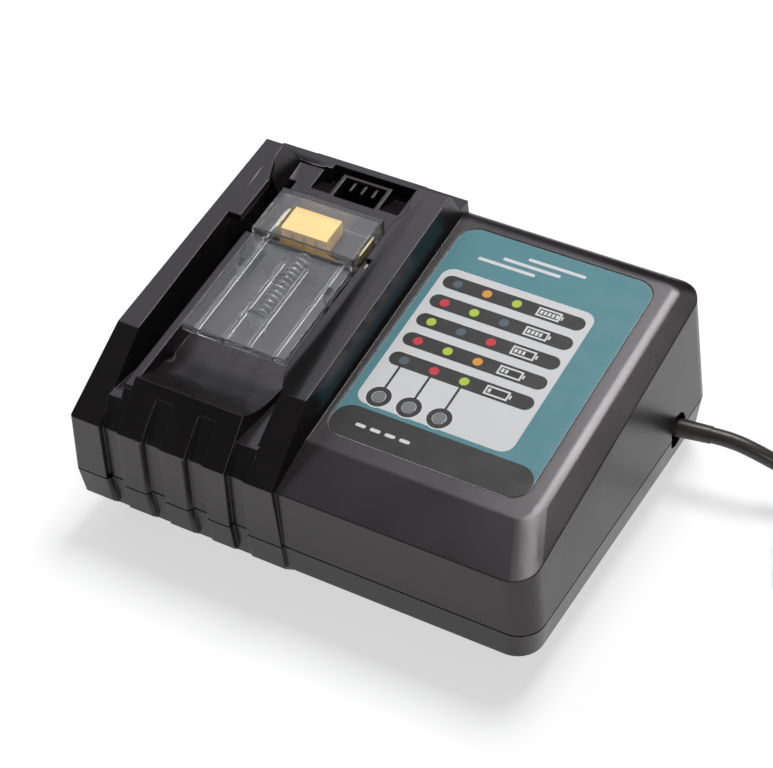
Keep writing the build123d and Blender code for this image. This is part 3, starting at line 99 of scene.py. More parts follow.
# %% [markdown]
# ## A helper for meshes
#
# A bmesh is a mesh under construction, and it becomes a piece once it is written to an object.
# Every new piece needs the same last steps: its doubled vertices merged, its faces pointing
# outwards, smooth shading that keeps the sharp edges, and a body to ride on. One function does
# them all, so that no piece can miss one. The Weighted Normal modifier keeps large faces flat
# where they meet small rounded ones.

# %% Mesh helper
merge_distance = 0.0005 * mm


def finish_piece(name, bm, material, body="housing", sharp_degrees=40.0):
    """Makes an object of a bmesh, smooth except at edges sharper than that many degrees."""
    bmesh.ops.remove_doubles(bm, verts=bm.verts, dist=merge_distance)
    bmesh.ops.recalc_face_normals(bm, faces=bm.faces)
    mesh = bpy.data.meshes.new(name)
    bm.to_mesh(mesh)
    bm.free()
    mesh.shade_smooth()
    mesh.set_sharp_from_angle(angle=math.radians(sharp_degrees))
    piece = bpy.data.objects.new(name, mesh)
    bpy.context.scene.collection.objects.link(piece)
    weighted = piece.modifiers.new("large faces stay flat", "WEIGHTED_NORMAL")
    weighted.keep_sharp = True
    weighted.weight = 100
    weighted.thresh = 0.02
    mesh.materials.append(material)
    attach(piece, body)
    return piece


print("vertices closer than", merge_distance / mm, "mm are merged")

# %% [markdown]
# ## A helper for materials
#
# A material is a graph of nodes. It could be wired by hand for every finish, but most of the
# lines would repeat. `Shader` keeps them in one place: a principled shader, object coordinates,
# which stay with a piece when it moves, and short ways to add a node and to join two of them. A
# value that is the same all over a surface is set on the shader's own socket.


# %% Material helper
class Shader:
    """A material with its principled shader, its coordinates and short ways to add nodes."""

    def __init__(self, name, colour=(0.5, 0.5, 0.5), roughness=0.5, metallic=0.0, **sockets):
        self.material = bpy.data.materials.new(name)
        self.material.use_nodes = True
        self.nodes = self.material.node_tree.nodes
        self.links = self.material.node_tree.links
        self.surface = self.nodes["Principled BSDF"]
        self.set("Base Color", (*colour, 1.0))
        self.set("Roughness", roughness)
        self.set("Metallic", metallic)
        for socket, value in sockets.items():
            self.set(socket.replace("_", " "), value)
        self.place = self.add("ShaderNodeTexCoord").outputs["Object"]

    def set(self, socket, value):
        self.surface.inputs[socket].default_value = value

    def add(self, kind, **values):
        node = self.nodes.new(kind)
        for key, value in values.items():
            setattr(node, key, value)
        return node

    def join(self, output, target):
        self.links.new(output, target)


print("a shader can:", [word for word in vars(Shader) if not word.startswith("_")])

# %% [markdown]
# ## The floor
#
# The object stands on a white sweep. Strong lamps could make the floor white, but they would wash
# out the object too. Here the lamps stay plain, and the Light Path node adds a glow that only the
# camera, the reflections and clear plastic see. So the floor is white, the object's walls mirror
# it, and it keeps the soft shadow of the object.

# %% Floor
floor_reach = 3.0
glow_strength = 1.65
glow_share = 0.36


def mix_in(shade, factor, other):
    """Shows the other shader by the factor, and the principled one by the rest."""
    mix = shade.add("ShaderNodeMixShader")
    shade.join(factor, mix.inputs["Fac"])
    shade.join(shade.surface.outputs["BSDF"], mix.inputs[1])
    shade.join(other, mix.inputs[2])
    shade.join(mix.outputs["Shader"], shade.nodes["Material Output"].inputs["Surface"])


floor_paint = Shader("studio_floor", (0.9, 0.9, 0.9), roughness=0.9, Specular_IOR_Level=0.1)
glow = floor_paint.add("ShaderNodeEmission")
glow.inputs["Color"].default_value = (1.0, 1.0, 1.0, 1.0)
glow.inputs["Strength"].default_value = glow_strength
rays = floor_paint.add("ShaderNodeLightPath")
seen = rays.outputs["Is Camera Ray"]
for ray in ("Is Glossy Ray", "Is Transmission Ray"):
    either = floor_paint.add("ShaderNodeMath", operation="MAXIMUM")
    floor_paint.join(seen, either.inputs[0])
    floor_paint.join(rays.outputs[ray], either.inputs[1])
    seen = either.outputs["Value"]
share = floor_paint.add("ShaderNodeMath", operation="MULTIPLY")
share.inputs[1].default_value = glow_share
floor_paint.join(seen, share.inputs[0])
mix_in(floor_paint, share.outputs["Value"], glow.outputs["Emission"])

bm = bmesh.new()
bmesh.ops.create_grid(bm, x_segments=2, y_segments=2, size=floor_reach)
floor_mesh = bpy.data.meshes.new("studio_floor")
bm.to_mesh(floor_mesh)
bm.free()
floor_mesh.materials.append(floor_paint.material)
floor = bpy.data.objects.new("studio_floor", floor_mesh)
bpy.context.scene.collection.objects.link(floor)
print("the floor reaches", floor_reach, "m each way")

# %% [markdown]
# ## The room
#
# Past the floor lies the world. It could be one grey, but then it would light the object from
# every side. Here the camera sees a white background, and for all other rays the room is nearly
# dark, which leaves the object's slopes as black as they are in a studio. The view transform is
# Standard, so that a colour renders as it is written.

# %% World
room_tint = (0.97, 0.985, 1.0, 1.0)
room_level = 0.07

world = bpy.data.worlds.new("studio_world")
world.use_nodes = True
bpy.context.scene.world = world
air = world.node_tree
plain = air.nodes["Background"]
plain.inputs["Color"].default_value = room_tint
plain.inputs["Strength"].default_value = room_level
bright = air.nodes.new("ShaderNodeBackground")
bright.inputs["Color"].default_value = (1.0, 1.0, 1.0, 1.0)
bright.inputs["Strength"].default_value = 1.0
path = air.nodes.new("ShaderNodeLightPath")
choose = air.nodes.new("ShaderNodeMixShader")
air.links.new(path.outputs["Is Camera Ray"], choose.inputs["Fac"])
air.links.new(plain.outputs["Background"], choose.inputs[1])
air.links.new(bright.outputs["Background"], choose.inputs[2])
air.links.new(choose.outputs["Shader"], air.nodes["World Output"].inputs["Surface"])
bpy.context.scene.view_settings.view_transform = "Standard"
print("the room lights the object at", room_level)

# %% [markdown]
# ## The lamps
#
# A point lamp would give hard shadows, so the lamps are areas. A large one overhead, a little
# behind, lights the top and keeps the shadow close to the front edge. A broad backdrop behind on
# the left lays a pale sheen on the clear cover, and a small lamp in front on the right puts one
# highlight on the rounded corner.


# %% Lamps
def soft_lamp(name, place, aim, size, power, tint=(1.0, 1.0, 1.0)):
    """A rectangular lamp at a place, turned towards the point that it is aimed at."""
    data = bpy.data.lights.new(name, "AREA")
    data.shape = "RECTANGLE"
    data.size, data.size_y = size
    data.energy = power
    data.color = tint
    lamp = bpy.data.objects.new(name, data)
    lamp.location = place
    lamp.rotation_euler = (Vector(aim) - Vector(place)).to_track_quat("-Z", "Y").to_euler()
    bpy.context.scene.collection.objects.link(lamp)
    print(name, "of", power, "W")


soft_lamp("top_lamp", place=(-0.03, 0.66, 1.5), aim=(0.0, 0.0, 0.03), size=(0.6, 0.6), power=17.0)
soft_lamp("backdrop", place=(-1.0, 0.75, 1.35), aim=(0.0, 0.0, 0.05), size=(1.6, 1.2), power=6.0,
          tint=(0.9, 0.92, 1.0))
soft_lamp("corner_lamp", place=(0.97, -0.76, 0.69), aim=(0.0, 0.0, 0.05), size=(0.22, 0.22),
          power=2.6)

# %% [markdown]
# ## The mains lead
#
# A lead is one flexible tube of constant thickness. A row of cylinders would show its joints, and a
# NURBS curve of order three doesn't: it is smooth in the way that a lead is, because it passes
# inside its corners. The lead leaves its strain relief, sinks to the table, and is put away in a
# coil. The points before and after the coil are listed in millimetres, so that the lead falls and
# rises gently.

# %% Route of the lead
lead_diameter = 6.2 * mm
lead_start = [
    (107.0, 49.0, 24.3),
    (114.44, 49.976, 24.391),
    (125.2, 50.6, 22.0),
    (137.5, 53.5, 15.6),
    (148.5, 61.5, 9.2),
    (158.0, 72.6, 4.8),
    (173.0, 80.8, 3.1),
]
lead_end = [
    (240.2, 45.5, 8.8),
    (244.2, 33.5, 7.5),
    (245.4, 22.0, 6.85),
    (245.4, 10.5, 6.85),
]
print("points chosen by hand:", len(lead_start) + len(lead_end))

# %% [markdown]
# The coil is flat, with two layers of turns. A spiral would be the shortest formula, but a lead
# that is wound by hand lies in rings: each turn keeps its radius for most of the way round, and
# steps to its neighbour's place in its last quarter. The curve runs a little inside the circle
# through its control points, so the loop divides the radius by that share.

# %% Turns of the coil
coil_centre = Vector((193.0, 35.0))
coil_start_angle = math.radians(90.0)
row_radii = [46.3, 40.1, 33.9, 27.7]
points_per_turn = 24
step_share = 0.25
last_part_turn = 60.0 / 360.0


def eased(t):
    """Goes from 0 to 1 with a soft start and a soft end."""
    t = min(max(t, 0.0), 1.0)
    return t * t * (3 - 2 * t)


def coil_points():
    """Places along the turns: inwards on the lower layer, outwards on the upper one."""
    radii = row_radii + row_radii[::-1]
    low = lead_diameter / mm / 2
    curve_share = (3 + math.cos(2 * math.pi / points_per_turn)) / 4
    places = []
    count = int((len(radii) - 1 + last_part_turn) * points_per_turn)
    for i in range(count + 1):
        turn = i / points_per_turn
        here = int(turn)
        step = eased((turn - here - 1 + step_share) / step_share)
        following = min(here + 1, len(radii) - 1)
        radius = (radii[here] + (radii[following] - radii[here]) * step) / curve_share
        rise = eased((turn - len(row_radii) + step_share) / step_share)
        angle = coil_start_angle - turn * 2 * math.pi
        places.append((coil_centre.x + radius * math.cos(angle),
                       coil_centre.y + radius * math.sin(angle),
                       low + 2 * low * rise))
    return places


route = lead_start + coil_points() + lead_end
print("points along the lead:", len(route))

# %% [markdown]
# ## Colour, gloss and relief from noise
#
# No real surface is even. A noise texture gives each point a number, and three helpers turn it
# into something to see: a range of colours, a range of roughness, or bumps. An image could do that
# too, but noise has no seams and no edge, and it fits a piece of any size. The grains of a noise
# are about one over its scale wide, in metres.


# %% Helpers for surfaces
def add_noise(shade, scale, detail=3.0, roughness=0.5, stretch=(1, 1, 1)):
    """A noise in object coordinates, as many times finer along each axis as stretch says."""
    mapping = shade.add("ShaderNodeMapping")
    mapping.inputs["Scale"].default_value = stretch
    shade.join(shade.place, mapping.inputs["Vector"])
    noise = shade.add("ShaderNodeTexNoise")
    noise.inputs["Scale"].default_value = scale
    noise.inputs["Detail"].default_value = detail
    noise.inputs["Roughness"].default_value = roughness
    shade.join(mapping.outputs["Vector"], noise.inputs["Vector"])
    return noise.outputs["Fac"]


def vary_colour(shade, factor, low, high, start=0.35, end=0.65):
    """Lets the colour go from low to high as the factor goes from start to end."""
    ramp = shade.add("ShaderNodeValToRGB")
    ramp.color_ramp.elements[0].position = start
    ramp.color_ramp.elements[1].position = end
    ramp.color_ramp.elements[0].color = (*low, 1.0)
    ramp.color_ramp.elements[1].color = (*high, 1.0)
    shade.join(factor, ramp.inputs["Fac"])
    shade.join(ramp.outputs["Color"], shade.surface.inputs["Base Color"])


def vary_roughness(shade, factor, low, high, start=0.3, end=0.7):
    """Lets the roughness go from low to high as the factor goes from start to end."""
    spread = shade.add("ShaderNodeMapRange")
    spread.inputs["From Min"].default_value = start
    spread.inputs["From Max"].default_value = end
    spread.inputs["To Min"].default_value = low
    spread.inputs["To Max"].default_value = high
    shade.join(factor, spread.inputs["Value"])
    shade.join(spread.outputs["Result"], shade.surface.inputs["Roughness"])


def add_relief(shade, factor, height, edge_radius=0.0):
    """Bumps of that height in metres, on edges that look rounded by the edge radius."""
    bump = shade.add("ShaderNodeBump")
    bump.inputs["Strength"].default_value = 1.0
    bump.inputs["Distance"].default_value = height
    shade.join(factor, bump.inputs["Height"])
    if edge_radius:
        rounding = shade.add("ShaderNodeBevel", samples=8)
        rounding.inputs["Radius"].default_value = edge_radius
        shade.join(rounding.outputs["Normal"], bump.inputs["Normal"])
    shade.join(bump.outputs["Normal"], shade.surface.inputs["Normal"])


print("a noise of scale 1000 has grains of about", 1 / 1000 / mm, "mm")

# %% [markdown]
# ## The jacket of the lead
#
# The jacket of such a lead is soft black plastic, a little browner than the shells, with a fine
# grain. Its tube could be a mesh swept by hand, but a curve with a round bevel does the same in one
# setting, and its length can be read from the spline. The spline's order is set after its points
# are there, because set before, it would leave straight runs.


# %% Lead curve
def make_lead(name, points, diameter, material):
    """A round lead along a smooth open spline."""
    data = bpy.data.curves.new(name, "CURVE")
    data.dimensions = "3D"
    data.resolution_u = 5
    data.bevel_depth = diameter / 2
    data.bevel_resolution = 6
    data.use_fill_caps = True
    spline = data.splines.new("NURBS")
    spline.points.add(len(points) - 1)
    for point, place in zip(spline.points, points):
        point.co = (*(Vector(place) * mm), 1.0)
    spline.order_u = 3
    spline.use_endpoint_u = True
    lead = bpy.data.objects.new(name, data)
    bpy.context.scene.collection.objects.link(lead)
    data.materials.append(material)
    return lead


jacket = Shader("lead_jacket", (0.05, 0.045, 0.043), roughness=0.36)
jacket_grain = add_noise(jacket, scale=900.0, detail=2.0)
vary_roughness(jacket, jacket_grain, 0.32, 0.42)
jacket_cloud = add_noise(jacket, scale=60.0)
vary_colour(jacket, jacket_cloud, (0.045, 0.04, 0.038), (0.056, 0.05, 0.048))
add_relief(jacket, jacket_grain, height=0.03 * mm)
mains_lead = make_lead("mains_lead", route, lead_diameter, jacket.material)
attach(mains_lead, "housing")
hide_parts("mains_cord", "cord_coil", "cord_tail")
print("the lead is", round(lead_diameter / mm, 1), "mm thick")

# %% [markdown]
# ## The label
#
# The label is a thin plastic film in a recess of the sloping top. Its print could be an image,
# but an image blurs close up. Instead each colour of ink is one mesh of flat patches with rounded
# corners, made on the level plane and then tipped by the slope. The label's outline comes from the
# frame, and distances along the slope are the level ones divided by its cosine.

# %% Where the label lies
slope = math.radians(8.26)
label_top = 62.0 * mm
label_place = Matrix.Translation((0, 0, label_top)) @ Matrix.Rotation(slope, 4, "X")
label_low, label_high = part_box("label_panel")
label_front = label_low.y / math.cos(slope)
label_back = label_high.y / math.cos(slope)
label_left = label_low.x
label_right = label_high.x
lens_first = 6.1 * mm
lens_pitch = 12.45 * mm
lens_row = -22.6 * mm / math.cos(slope)
lens_columns = [lens_first + i * lens_pitch for i in range(3)]
print("label", round((label_right - label_left) / mm, 1), "x",
      round((label_back - label_front) / mm, 1), "mm")

# %% [markdown]
# Real ink has a thickness, a few hundredths of a millimetre, and one ink is printed over another.
# So each patch is extruded by its layer of ink, and a patch that lies on another takes a higher
# layer. Its foot lies a little inside the film, so that no light gets under it. Two faces at the
# same height would show as speckles, and the layers prevent that too.

# %% Patches of ink
ink = 0.03 * mm
ink_root = -0.02 * mm


def raise_ink(bm, faces, layer):
    """Gives new flat faces their thickness."""
    for f in faces:
        if f.normal.z < 0:
            f.normal_flip()
    for v in {v for f in faces for v in f.verts}:
        v.co.z = ink_root
    raised = bmesh.ops.extrude_face_region(bm, geom=faces)
    for v in [g for g in raised["geom"] if isinstance(g, bmesh.types.BMVert)]:
        v.co.z = ink * layer


def add_patch(bm, x0, x1, y0, y1, radius=0.0, layer=1):
    """A flat patch with rounded corners, as thick as its layer of ink."""
    before = set(bm.faces)
    made = bmesh.ops.create_grid(bm, x_segments=1, y_segments=1, size=0.5)
    for v in made["verts"]:
        v.co = Vector((x0 + (v.co.x + 0.5) * (x1 - x0), y0 + (v.co.y + 0.5) * (y1 - y0), 0))
    if radius:
        bmesh.ops.bevel(bm, geom=made["verts"], offset=radius, offset_type="OFFSET", segments=6,
                        profile=0.5, affect="VERTICES", material=-1)
    raise_ink(bm, [f for f in bm.faces if f not in before], layer)


def print_ink(name, bm, material):
    """Tips the patches into the label's plane and makes them a piece."""
    bmesh.ops.transform(bm, matrix=label_place, verts=bm.verts)
    print(name, "has", len(bm.faces), "faces")
    finish_piece(name, bm, material)


print("a layer of ink is", ink / mm, "mm thick")

# %% [markdown]
# Printed ink is an even colour with a low satin gloss. A flat colour would look like a screen, so
# a fine noise makes it faintly uneven, and a coarser one lets the gloss wander a little, as a
# varnish does. All the inks share that recipe, and only their colours differ.


# %% Inks and film
def scaled(colour, factor):
    """A colour made darker or lighter."""
    return tuple(min(1.0, c * factor) for c in colour)


def ink_material(name, colour):
    """Printed ink: even colour with a faint unevenness, and a low satin gloss."""
    shade = Shader(name, colour, roughness=0.4, Specular_IOR_Level=0.3)
    grain = add_noise(shade, scale=1500.0, detail=2.0)
    vary_colour(shade, grain, scaled(colour, 0.985), scaled(colour, 1.01))
    vary_roughness(shade, add_noise(shade, scale=140.0), 0.42, 0.52)
    add_relief(shade, grain, height=0.002 * mm)
    return shade.material


ink_colours = {
    "light_grey": (0.76, 0.76, 0.765),
    "teal": (0.09, 0.275, 0.32),
    "dark": (0.026, 0.024, 0.024),
    "white": (0.8, 0.8, 0.8),
    "red": (0.72, 0.03, 0.045),
    "lime": (0.52, 0.68, 0.05),
    "amber": (0.85, 0.36, 0.03),
    "slate": (0.085, 0.13, 0.16),
}
inks = {name: ink_material("ink_" + name, colour) for name, colour in ink_colours.items()}
print("inks:", list(inks))

# %% [markdown]
# The largest fields come first: a teal ground with rounded corners, a light grey table on it, a
# dark band at the foot and five dark bars across the table. They could share one mesh with several
# materials, but one mesh for each colour is simpler to read and to change.

# %% Fields of the label
margin = 0.15 * mm
field_left = label_left + margin
field_right = label_right - margin
field_front = label_front + margin
field_back = label_back - margin
field_corner = 7.6 * mm
foot_corner = 7.3 * mm
foot_gap = 2.0 * mm

row_count = 5
row_first = lens_row + 19.0 * mm
row_pitch = 10.4 * mm
rows = [row_first + row * row_pitch for row in range(row_count)]

grey_left = field_left + 3.2 * mm
grey_right = label_right - 14.0 * mm
grey_front = label_front + 17.0 * mm
grey_back = row_first + (row_count - 0.35) * row_pitch
grey_corner = 5.0 * mm

bar_left = field_left + 5.4 * mm
bar_right = grey_right - 2.4 * mm
bar_half = 3.3 * mm
bar_corner = 3.2 * mm

bm = bmesh.new()
add_patch(bm, field_left, field_right, field_front, field_back, field_corner)
print_ink("label_teal_field", bm, inks["teal"])

bm = bmesh.new()
add_patch(bm, grey_left, grey_right, grey_front, grey_back, grey_corner, layer=2)
print_ink("label_grey_field", bm, inks["light_grey"])

bm = bmesh.new()
add_patch(bm, field_left, field_right, field_front, grey_front - foot_gap, foot_corner, layer=2)
for y in rows:
    add_patch(bm, bar_left, bar_right, y - bar_half, y + bar_half, bar_corner, layer=3)
print_ink("label_dark_bars", bm, inks["dark"])

# %% [markdown]
# The three indicator lenses come up through holes in the film. A dark ring with a thin white
# outline surrounds each, and a dark line leads from the ring to the table. A ring is two circles
# bridged with faces, which leaves its middle open for the lens.

# %% Rings round the lenses
ring_inner = 2.75 * mm
ring_outer = 4.7 * mm
outline_outer = 5.3 * mm
leader_half = 0.45 * mm
leader_start = lens_row + 4.5 * mm
leader_end = row_first - 3.2 * mm


def add_ring(bm, x, y, outer, inner, layer=1, segments=48):
    """A flat ring: two circles, bridged."""
    edges = []
    for radius in (outer, inner):
        circle = bmesh.ops.create_circle(bm, segments=segments, radius=radius,
                                         matrix=Matrix.Translation((x, y, 0)))
        edges += {edge for v in circle["verts"] for edge in v.link_edges}
    made = bmesh.ops.bridge_loops(bm, edges=edges)
    raise_ink(bm, made["faces"], layer)


bm = bmesh.new()
for x in lens_columns:
    add_ring(bm, x, lens_row, ring_outer, ring_inner, layer=4)
    add_patch(bm, x - leader_half, x + leader_half, leader_start, leader_end, layer=4)
print_ink("label_lens_rings", bm, inks["dark"])

bm = bmesh.new()
for x in lens_columns:
    add_ring(bm, x, lens_row, outline_outer, ring_outer, layer=3)
print_ink("label_lens_outlines", bm, inks["white"])

# %% [markdown]
# Each bar of the table has a dot in line with each lens, as a key to what the lenses show. A small
# table of columns and rows for each colour is all that the dots need.

# %% Dots
dot_radius = 1.9 * mm
dots = {
    "red": [(1, 0), (0, 1), (2, 2), (0, 3)],
    "lime": [(2, 0), (1, 1), (0, 2), (1, 3), (2, 4)],
    "amber": [(2, 1), (1, 4)],
    "slate": [(0, 0), (1, 2), (2, 3), (0, 4)],
}


def add_disc(bm, x, y, radius, layer=1, segments=32):
    """A flat round dot."""
    before = set(bm.faces)
    bmesh.ops.create_circle(bm, cap_ends=True, segments=segments, radius=radius,
                            matrix=Matrix.Translation((x, y, 0)))
    raise_ink(bm, [f for f in bm.faces if f not in before], layer)


for colour, places in dots.items():
    bm = bmesh.new()
    for column, row in places:
        add_disc(bm, lens_columns[column], rows[row], dot_radius, layer=4)
    print_ink("label_dots_" + colour, bm, inks[colour])

# %% [markdown]
# At the end of each bar stands the outline of a cell, with one more filled block in every row.
# Plain strokes stand in the upper field and in the foot, where such labels have their text. All
# of them are white, so they are one mesh.

# %% Cell symbols and strokes
symbol_left = lens_columns[2] + 8.5 * mm
symbol_width = 9.6 * mm
symbol_half = 2.2 * mm
symbol_line = 0.75 * mm
nub_gap = 0.25 * mm
block_first = symbol_left + symbol_line + 0.5 * mm
block_pitch = 1.6 * mm
block_width = 1.1 * mm
block_half = symbol_half - 1.3 * mm
stroke_width = 1.5 * mm
stroke_corner = 0.7 * mm


def add_cell(bm, y, filled):
    """The outline of a cell with its end contact, and so many filled blocks in it."""
    symbol_right = symbol_left + symbol_width
    side_half = symbol_half - symbol_line
    nub_half = 0.4 * symbol_half
    for low in (y - symbol_half, y + symbol_half - symbol_line):
        add_patch(bm, symbol_left, symbol_right, low, low + symbol_line, layer=4)
    for x, tall in ((symbol_left, side_half), (symbol_right - symbol_line, side_half),
                    (symbol_right + nub_gap, nub_half)):
        add_patch(bm, x, x + symbol_line, y - tall, y + tall, layer=4)
    for block in range(filled):
        x = block_first + block * block_pitch
        add_patch(bm, x, x + block_width, y - block_half, y + block_half, layer=4)


def add_strokes(bm, count, x, y, length, step_x, step_y, layer):
    """Bars of one length, each a step further than the one before."""
    for i in range(count):
        left = x + i * step_x
        low = y + i * step_y
        add_patch(bm, left, left + length, low, low + stroke_width, stroke_corner, layer)


bm = bmesh.new()
for row, y in enumerate(rows):
    add_cell(bm, y, row + 1)
add_strokes(bm, 3, field_left + 12.0 * mm, label_back - 14.5 * mm, length=24.0 * mm,
            step_x=9.0 * mm, step_y=3.4 * mm, layer=2)
add_strokes(bm, 4, field_left + 10.0 * mm, label_front + 6.5 * mm, length=4.2 * mm,
            step_x=6.0 * mm, step_y=0.0, layer=3)
print_ink("label_white_marks", bm, inks["white"])

# %% [markdown]
# ## Moulded plastic
#
# The shells are moulded in black plastic with a fine spark-eroded texture: a satin that is neither
# matt nor glossy. Two noises make it, one of a third of a millimetre for the texture and one of
# several centimetres for the slight unevenness of the gloss. Corners of a moulding are never
# sharp. A Bevel modifier could round them, but the Bevel node rounds their shading at no cost in
# faces, by the radius of the tool.


# %% Moulded plastic
def moulded(name, colour, rough=(0.36, 0.5), grain_scale=2600.0, grain_height=0.012,
            edge_radius=0.35, **sockets):
    """Moulded plastic with a fine texture and softened edges, both given in millimetres."""
    shade = Shader(name, colour, sum(rough) / 2, **sockets)
    grain = add_noise(shade, grain_scale, detail=2.0, roughness=0.6)
    cloud = add_noise(shade, scale=22.0, detail=4.0)
    vary_colour(shade, cloud, scaled(colour, 0.88), scaled(colour, 1.12))
    vary_roughness(shade, cloud, *rough)
    add_relief(shade, grain, grain_height * mm, edge_radius * mm)
    return shade.material


finishes = {
    "housing_plastic": moulded("shell_plastic", (0.0105, 0.0092, 0.0096), (0.24, 0.32),
                               edge_radius=0.7, Specular_IOR_Level=0.6,
                               Specular_Tint=(1.0, 0.94, 0.97, 1.0)),
    "lens_plastic": moulded("lens_plastic", (0.2, 0.205, 0.21), (0.12, 0.2), grain_scale=400.0,
                            grain_height=0.01, edge_radius=0.15, Coat_Weight=0.6,
                            Coat_Roughness=0.08),
    "terminal_plastic": moulded("terminal_yellow", (0.9, 0.56, 0.16), (0.34, 0.46),
                                grain_scale=1800.0),
    "plug_plastic": moulded("plug_plastic", (0.02, 0.02, 0.021), (0.3, 0.4), grain_scale=900.0,
                            grain_height=0.02),
    "foot_rubber": moulded("foot_rubber", (0.03, 0.03, 0.03), (0.6, 0.75), grain_scale=1200.0,
                           grain_height=0.03),
    "tie_plastic": moulded("tie_plastic", (0.025, 0.025, 0.025), (0.4, 0.5), grain_scale=1500.0,
                           grain_height=0.02),
    "cord_rubber": jacket.material,
    "label_film": inks["light_grey"],
}
print("finishes outside:", list(finishes))

# %% [markdown]
# ## Clear plastic
#
# The sprung cover is clear, so that the terminals show through it. Transmission alone would bend
# the light rightly and then cast a dark shadow, because light that is focused by clear plastic
# takes a renderer very long to find. So for shadow rays the cover is a plain pale see-through
# surface. Faint flow lines across it show that the clear faces are there.


# %% Clear plastic
def clear(name, tint, rough=(0.02, 0.08), ior=1.49, haze=0.0):
    """Clear moulded plastic: it refracts, with faint flow lines, and casts a pale shadow."""
    shade = Shader(name, tint, roughness=0.05, Transmission_Weight=1.0 - haze, IOR=ior)
    flow = add_noise(shade, scale=40.0, detail=2.0, stretch=(1, 4, 1))
    vary_colour(shade, flow, scaled(tint, 0.97), tint)
    vary_roughness(shade, flow, *rough)
    add_relief(shade, flow, height=0.01 * mm, edge_radius=0.3 * mm)
    open_air = shade.add("ShaderNodeBsdfTransparent")
    open_air.inputs["Color"].default_value = (0.9, 0.91, 0.91, 1.0)
    rays = shade.add("ShaderNodeLightPath")
    mix_in(shade, rays.outputs["Is Shadow Ray"], open_air.outputs["BSDF"])
    return shade.material


finishes["clear_cover"] = clear("clear_plastic", (0.98, 0.985, 0.985), haze=0.015)
finishes["fuse_glass"] = clear("fuse_glass", (0.93, 0.96, 0.95), (0.0, 0.03), ior=1.5)
print("with clear ones:", len(finishes))

# %% [markdown]
# ## Metals
#
# The terminals, the spring, the screws, the pins, the windings and the heat sinks are metal. What
# tells one metal from another is its colour and the marks of how it was worked, so the noise is
# drawn out into lines along a part or round it, and drives roughness and relief.


# %% Metals
def metal(name, colour, rough=(0.22, 0.38), stretch=(1, 1, 1), height=0.004):
    """Bare or plated metal with fine marks, whose height is given in millimetres."""
    shade = Shader(name, colour, sum(rough) / 2, metallic=1.0)
    marks = add_noise(shade, scale=1800.0, roughness=0.6, stretch=stretch)
    cloud = add_noise(shade, scale=120.0)
    vary_colour(shade, cloud, scaled(colour, 0.85), scaled(colour, 1.08))
    vary_roughness(shade, marks, *rough)
    add_relief(shade, marks, height * mm, edge_radius=0.1 * mm)
    return shade.material


finishes.update({
    "contact_metal": metal("contact_metal", (0.8, 0.66, 0.36)),
    "spring_steel": metal("spring_steel", (0.6, 0.6, 0.58), (0.15, 0.28), stretch=(1, 6, 1)),
    "screw_steel": metal("screw_steel", (0.6, 0.6, 0.62), (0.25, 0.4)),
    "copper": metal("copper_wire", (0.72, 0.28, 0.12), (0.2, 0.35), stretch=(1, 1, 20),
                    height=0.05),
    "sink_aluminium": metal("sink_aluminium", (0.75, 0.76, 0.77), (0.3, 0.45),
                            stretch=(1, 1, 0.05)),
    "pin_metal": metal("pin_nickel", (0.72, 0.7, 0.66), (0.12, 0.22), stretch=(1, 8, 1)),
})
print("with metals:", len(finishes))

# %% [markdown]
# ## Inside the housing
#
# Nobody sees the board until the shells come apart, but then each component is known by its
# colour: a green board, grey ferrite, yellow tape round a transformer, dark blue sleeves on the
# capacitors. They are all mouldings, sleeves or coatings, so the recipe for moulded plastic serves
# them too, with a coarser or finer grain.

# %% Finishes inside
finishes.update({
    "circuit_board": moulded("board_green", (0.03, 0.16, 0.07), (0.3, 0.45), grain_scale=700.0,
                             grain_height=0.02),
    "ferrite": moulded("ferrite_grey", (0.045, 0.045, 0.05), (0.5, 0.65), grain_scale=1200.0,
                       grain_height=0.03),
    "bobbin_plastic": moulded("bobbin_brown", (0.06, 0.045, 0.035), (0.4, 0.55)),
    "winding_tape": moulded("winding_tape", (0.72, 0.5, 0.06), (0.25, 0.35), grain_scale=300.0,
                            grain_height=0.03),
    "capacitor_sleeve": moulded("capacitor_sleeve", (0.015, 0.02, 0.07), (0.2, 0.3),
                                grain_scale=200.0, grain_height=0.01),
    "epoxy": moulded("epoxy_black", (0.02, 0.02, 0.02), (0.45, 0.6), grain_scale=900.0,
                     grain_height=0.02),
    "film_case": moulded("film_case", (0.6, 0.55, 0.42), (0.25, 0.35)),
    "connector_plastic": moulded("connector_nylon", (0.72, 0.7, 0.62), (0.4, 0.5)),
    "lead_red": moulded("wire_red", (0.45, 0.02, 0.015), (0.3, 0.4), grain_scale=600.0,
                        grain_height=0.01),
    "lead_black": moulded("wire_black", (0.02, 0.02, 0.02), (0.3, 0.4), grain_scale=600.0,
                          grain_height=0.01),
    "ribbon": moulded("ribbon_grey", (0.3, 0.3, 0.3), (0.3, 0.4), grain_scale=300.0,
                      grain_height=0.02),
    "fan_plastic": moulded("fan_plastic", (0.025, 0.025, 0.027), (0.4, 0.5)),
    "duct_plastic": moulded("duct_plastic", (0.035, 0.035, 0.035), (0.4, 0.5)),
})
print("all finishes:", len(finishes))

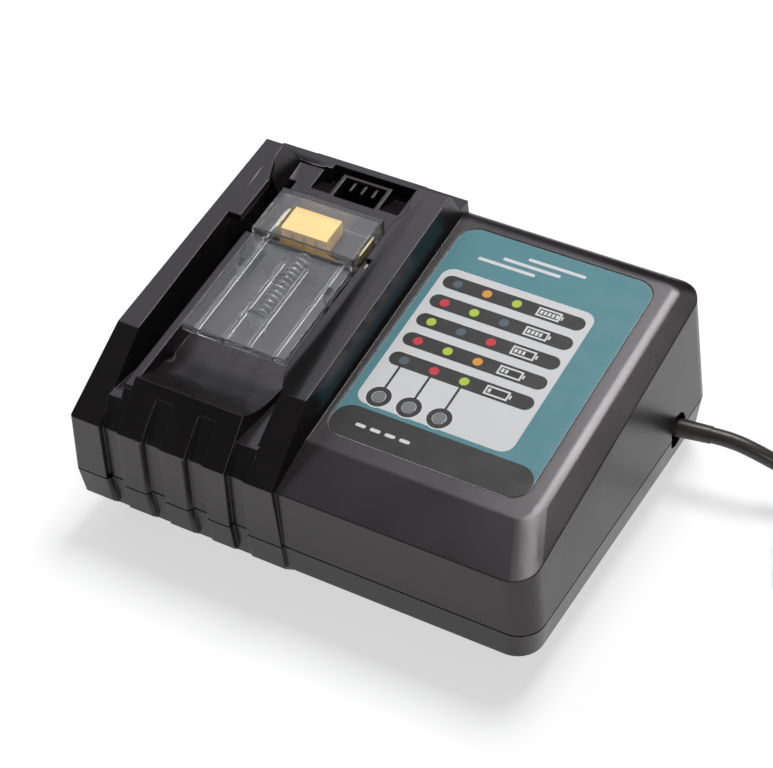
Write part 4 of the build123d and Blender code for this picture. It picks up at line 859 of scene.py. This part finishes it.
# %% [markdown]
# ## Smooth shading of the mouldings
#
# A mesh from CAD is a set of loose triangles, so it would shade flat. For each moulding that
# shows, a copy has its doubled vertices merged and the triangles of each flat face joined into
# one polygon. It gets smooth shading with sharp edges kept by their angle, and stands for the
# original. The facets of its curves differ by less than the angle, and its flat faces by more.
# What stays inside keeps its own mesh and gets its finish in its slot.

# %% Dress the nodes
flat_degrees = 0.3
facet_degrees = 13.0
slots = {part["node"]: part["material_slot"] for part in frame["record"]["subparts"]}
body_of = {node: body for body, nodes in frame["record"]["behaviour"]["bodies"].items()
           for node in nodes}
lead_nodes = {"mains_cord", "cord_coil", "cord_tail"}
shown = ["upper_housing", "lower_housing", "label_panel", "indicator_lens_left",
         "indicator_lens_middle", "indicator_lens_right", "terminal_cover", "cover_spring",
         "terminal_block", "cord_bushing", "coil_tie", "plug_body", "plug_pins", "rubber_feet",
         "fan_rotor", "fan_frame"]


def smooth_copy(node, material):
    """A merged and smoothly shaded copy that stands for a node."""
    bm = bmesh.new()
    bm.from_mesh(frame["nodes"][node].data)
    bmesh.ops.remove_doubles(bm, verts=bm.verts, dist=merge_distance)
    bmesh.ops.dissolve_limit(bm, angle_limit=math.radians(flat_degrees), verts=bm.verts,
                             edges=bm.edges)
    piece = finish_piece(node + "_finished", bm, material, body_of[node],
                         facet_degrees)
    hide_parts(node)
    return piece


finished = {}
for node, thing in frame["nodes"].items():
    if node in lead_nodes:
        continue
    if node in shown:
        finished[node] = smooth_copy(node, finishes[slots[node]])
    else:
        thing.data.materials.clear()
        thing.data.materials.append(finishes[slots[node]])
print("smooth copies:", len(finished))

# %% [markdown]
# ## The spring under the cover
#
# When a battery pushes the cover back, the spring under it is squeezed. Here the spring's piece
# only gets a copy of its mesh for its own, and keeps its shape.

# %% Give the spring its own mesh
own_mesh(finished["cover_spring"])

# %% [markdown]
# ## What belongs to the lead
#
# The pieces at the lead's two ends belong to it: the strain relief, the strap round the coil, and
# the plug with its pins. They are dressed with the other mouldings above, and nothing more is done
# to them here.

print("the strain relief, the strap and the plug are dressed")

# %% [markdown]
# ## The last update
#
# The looks never change the object's size. Last, the view layer is brought up to date.

# %% Finish
bpy.context.view_layer.update()
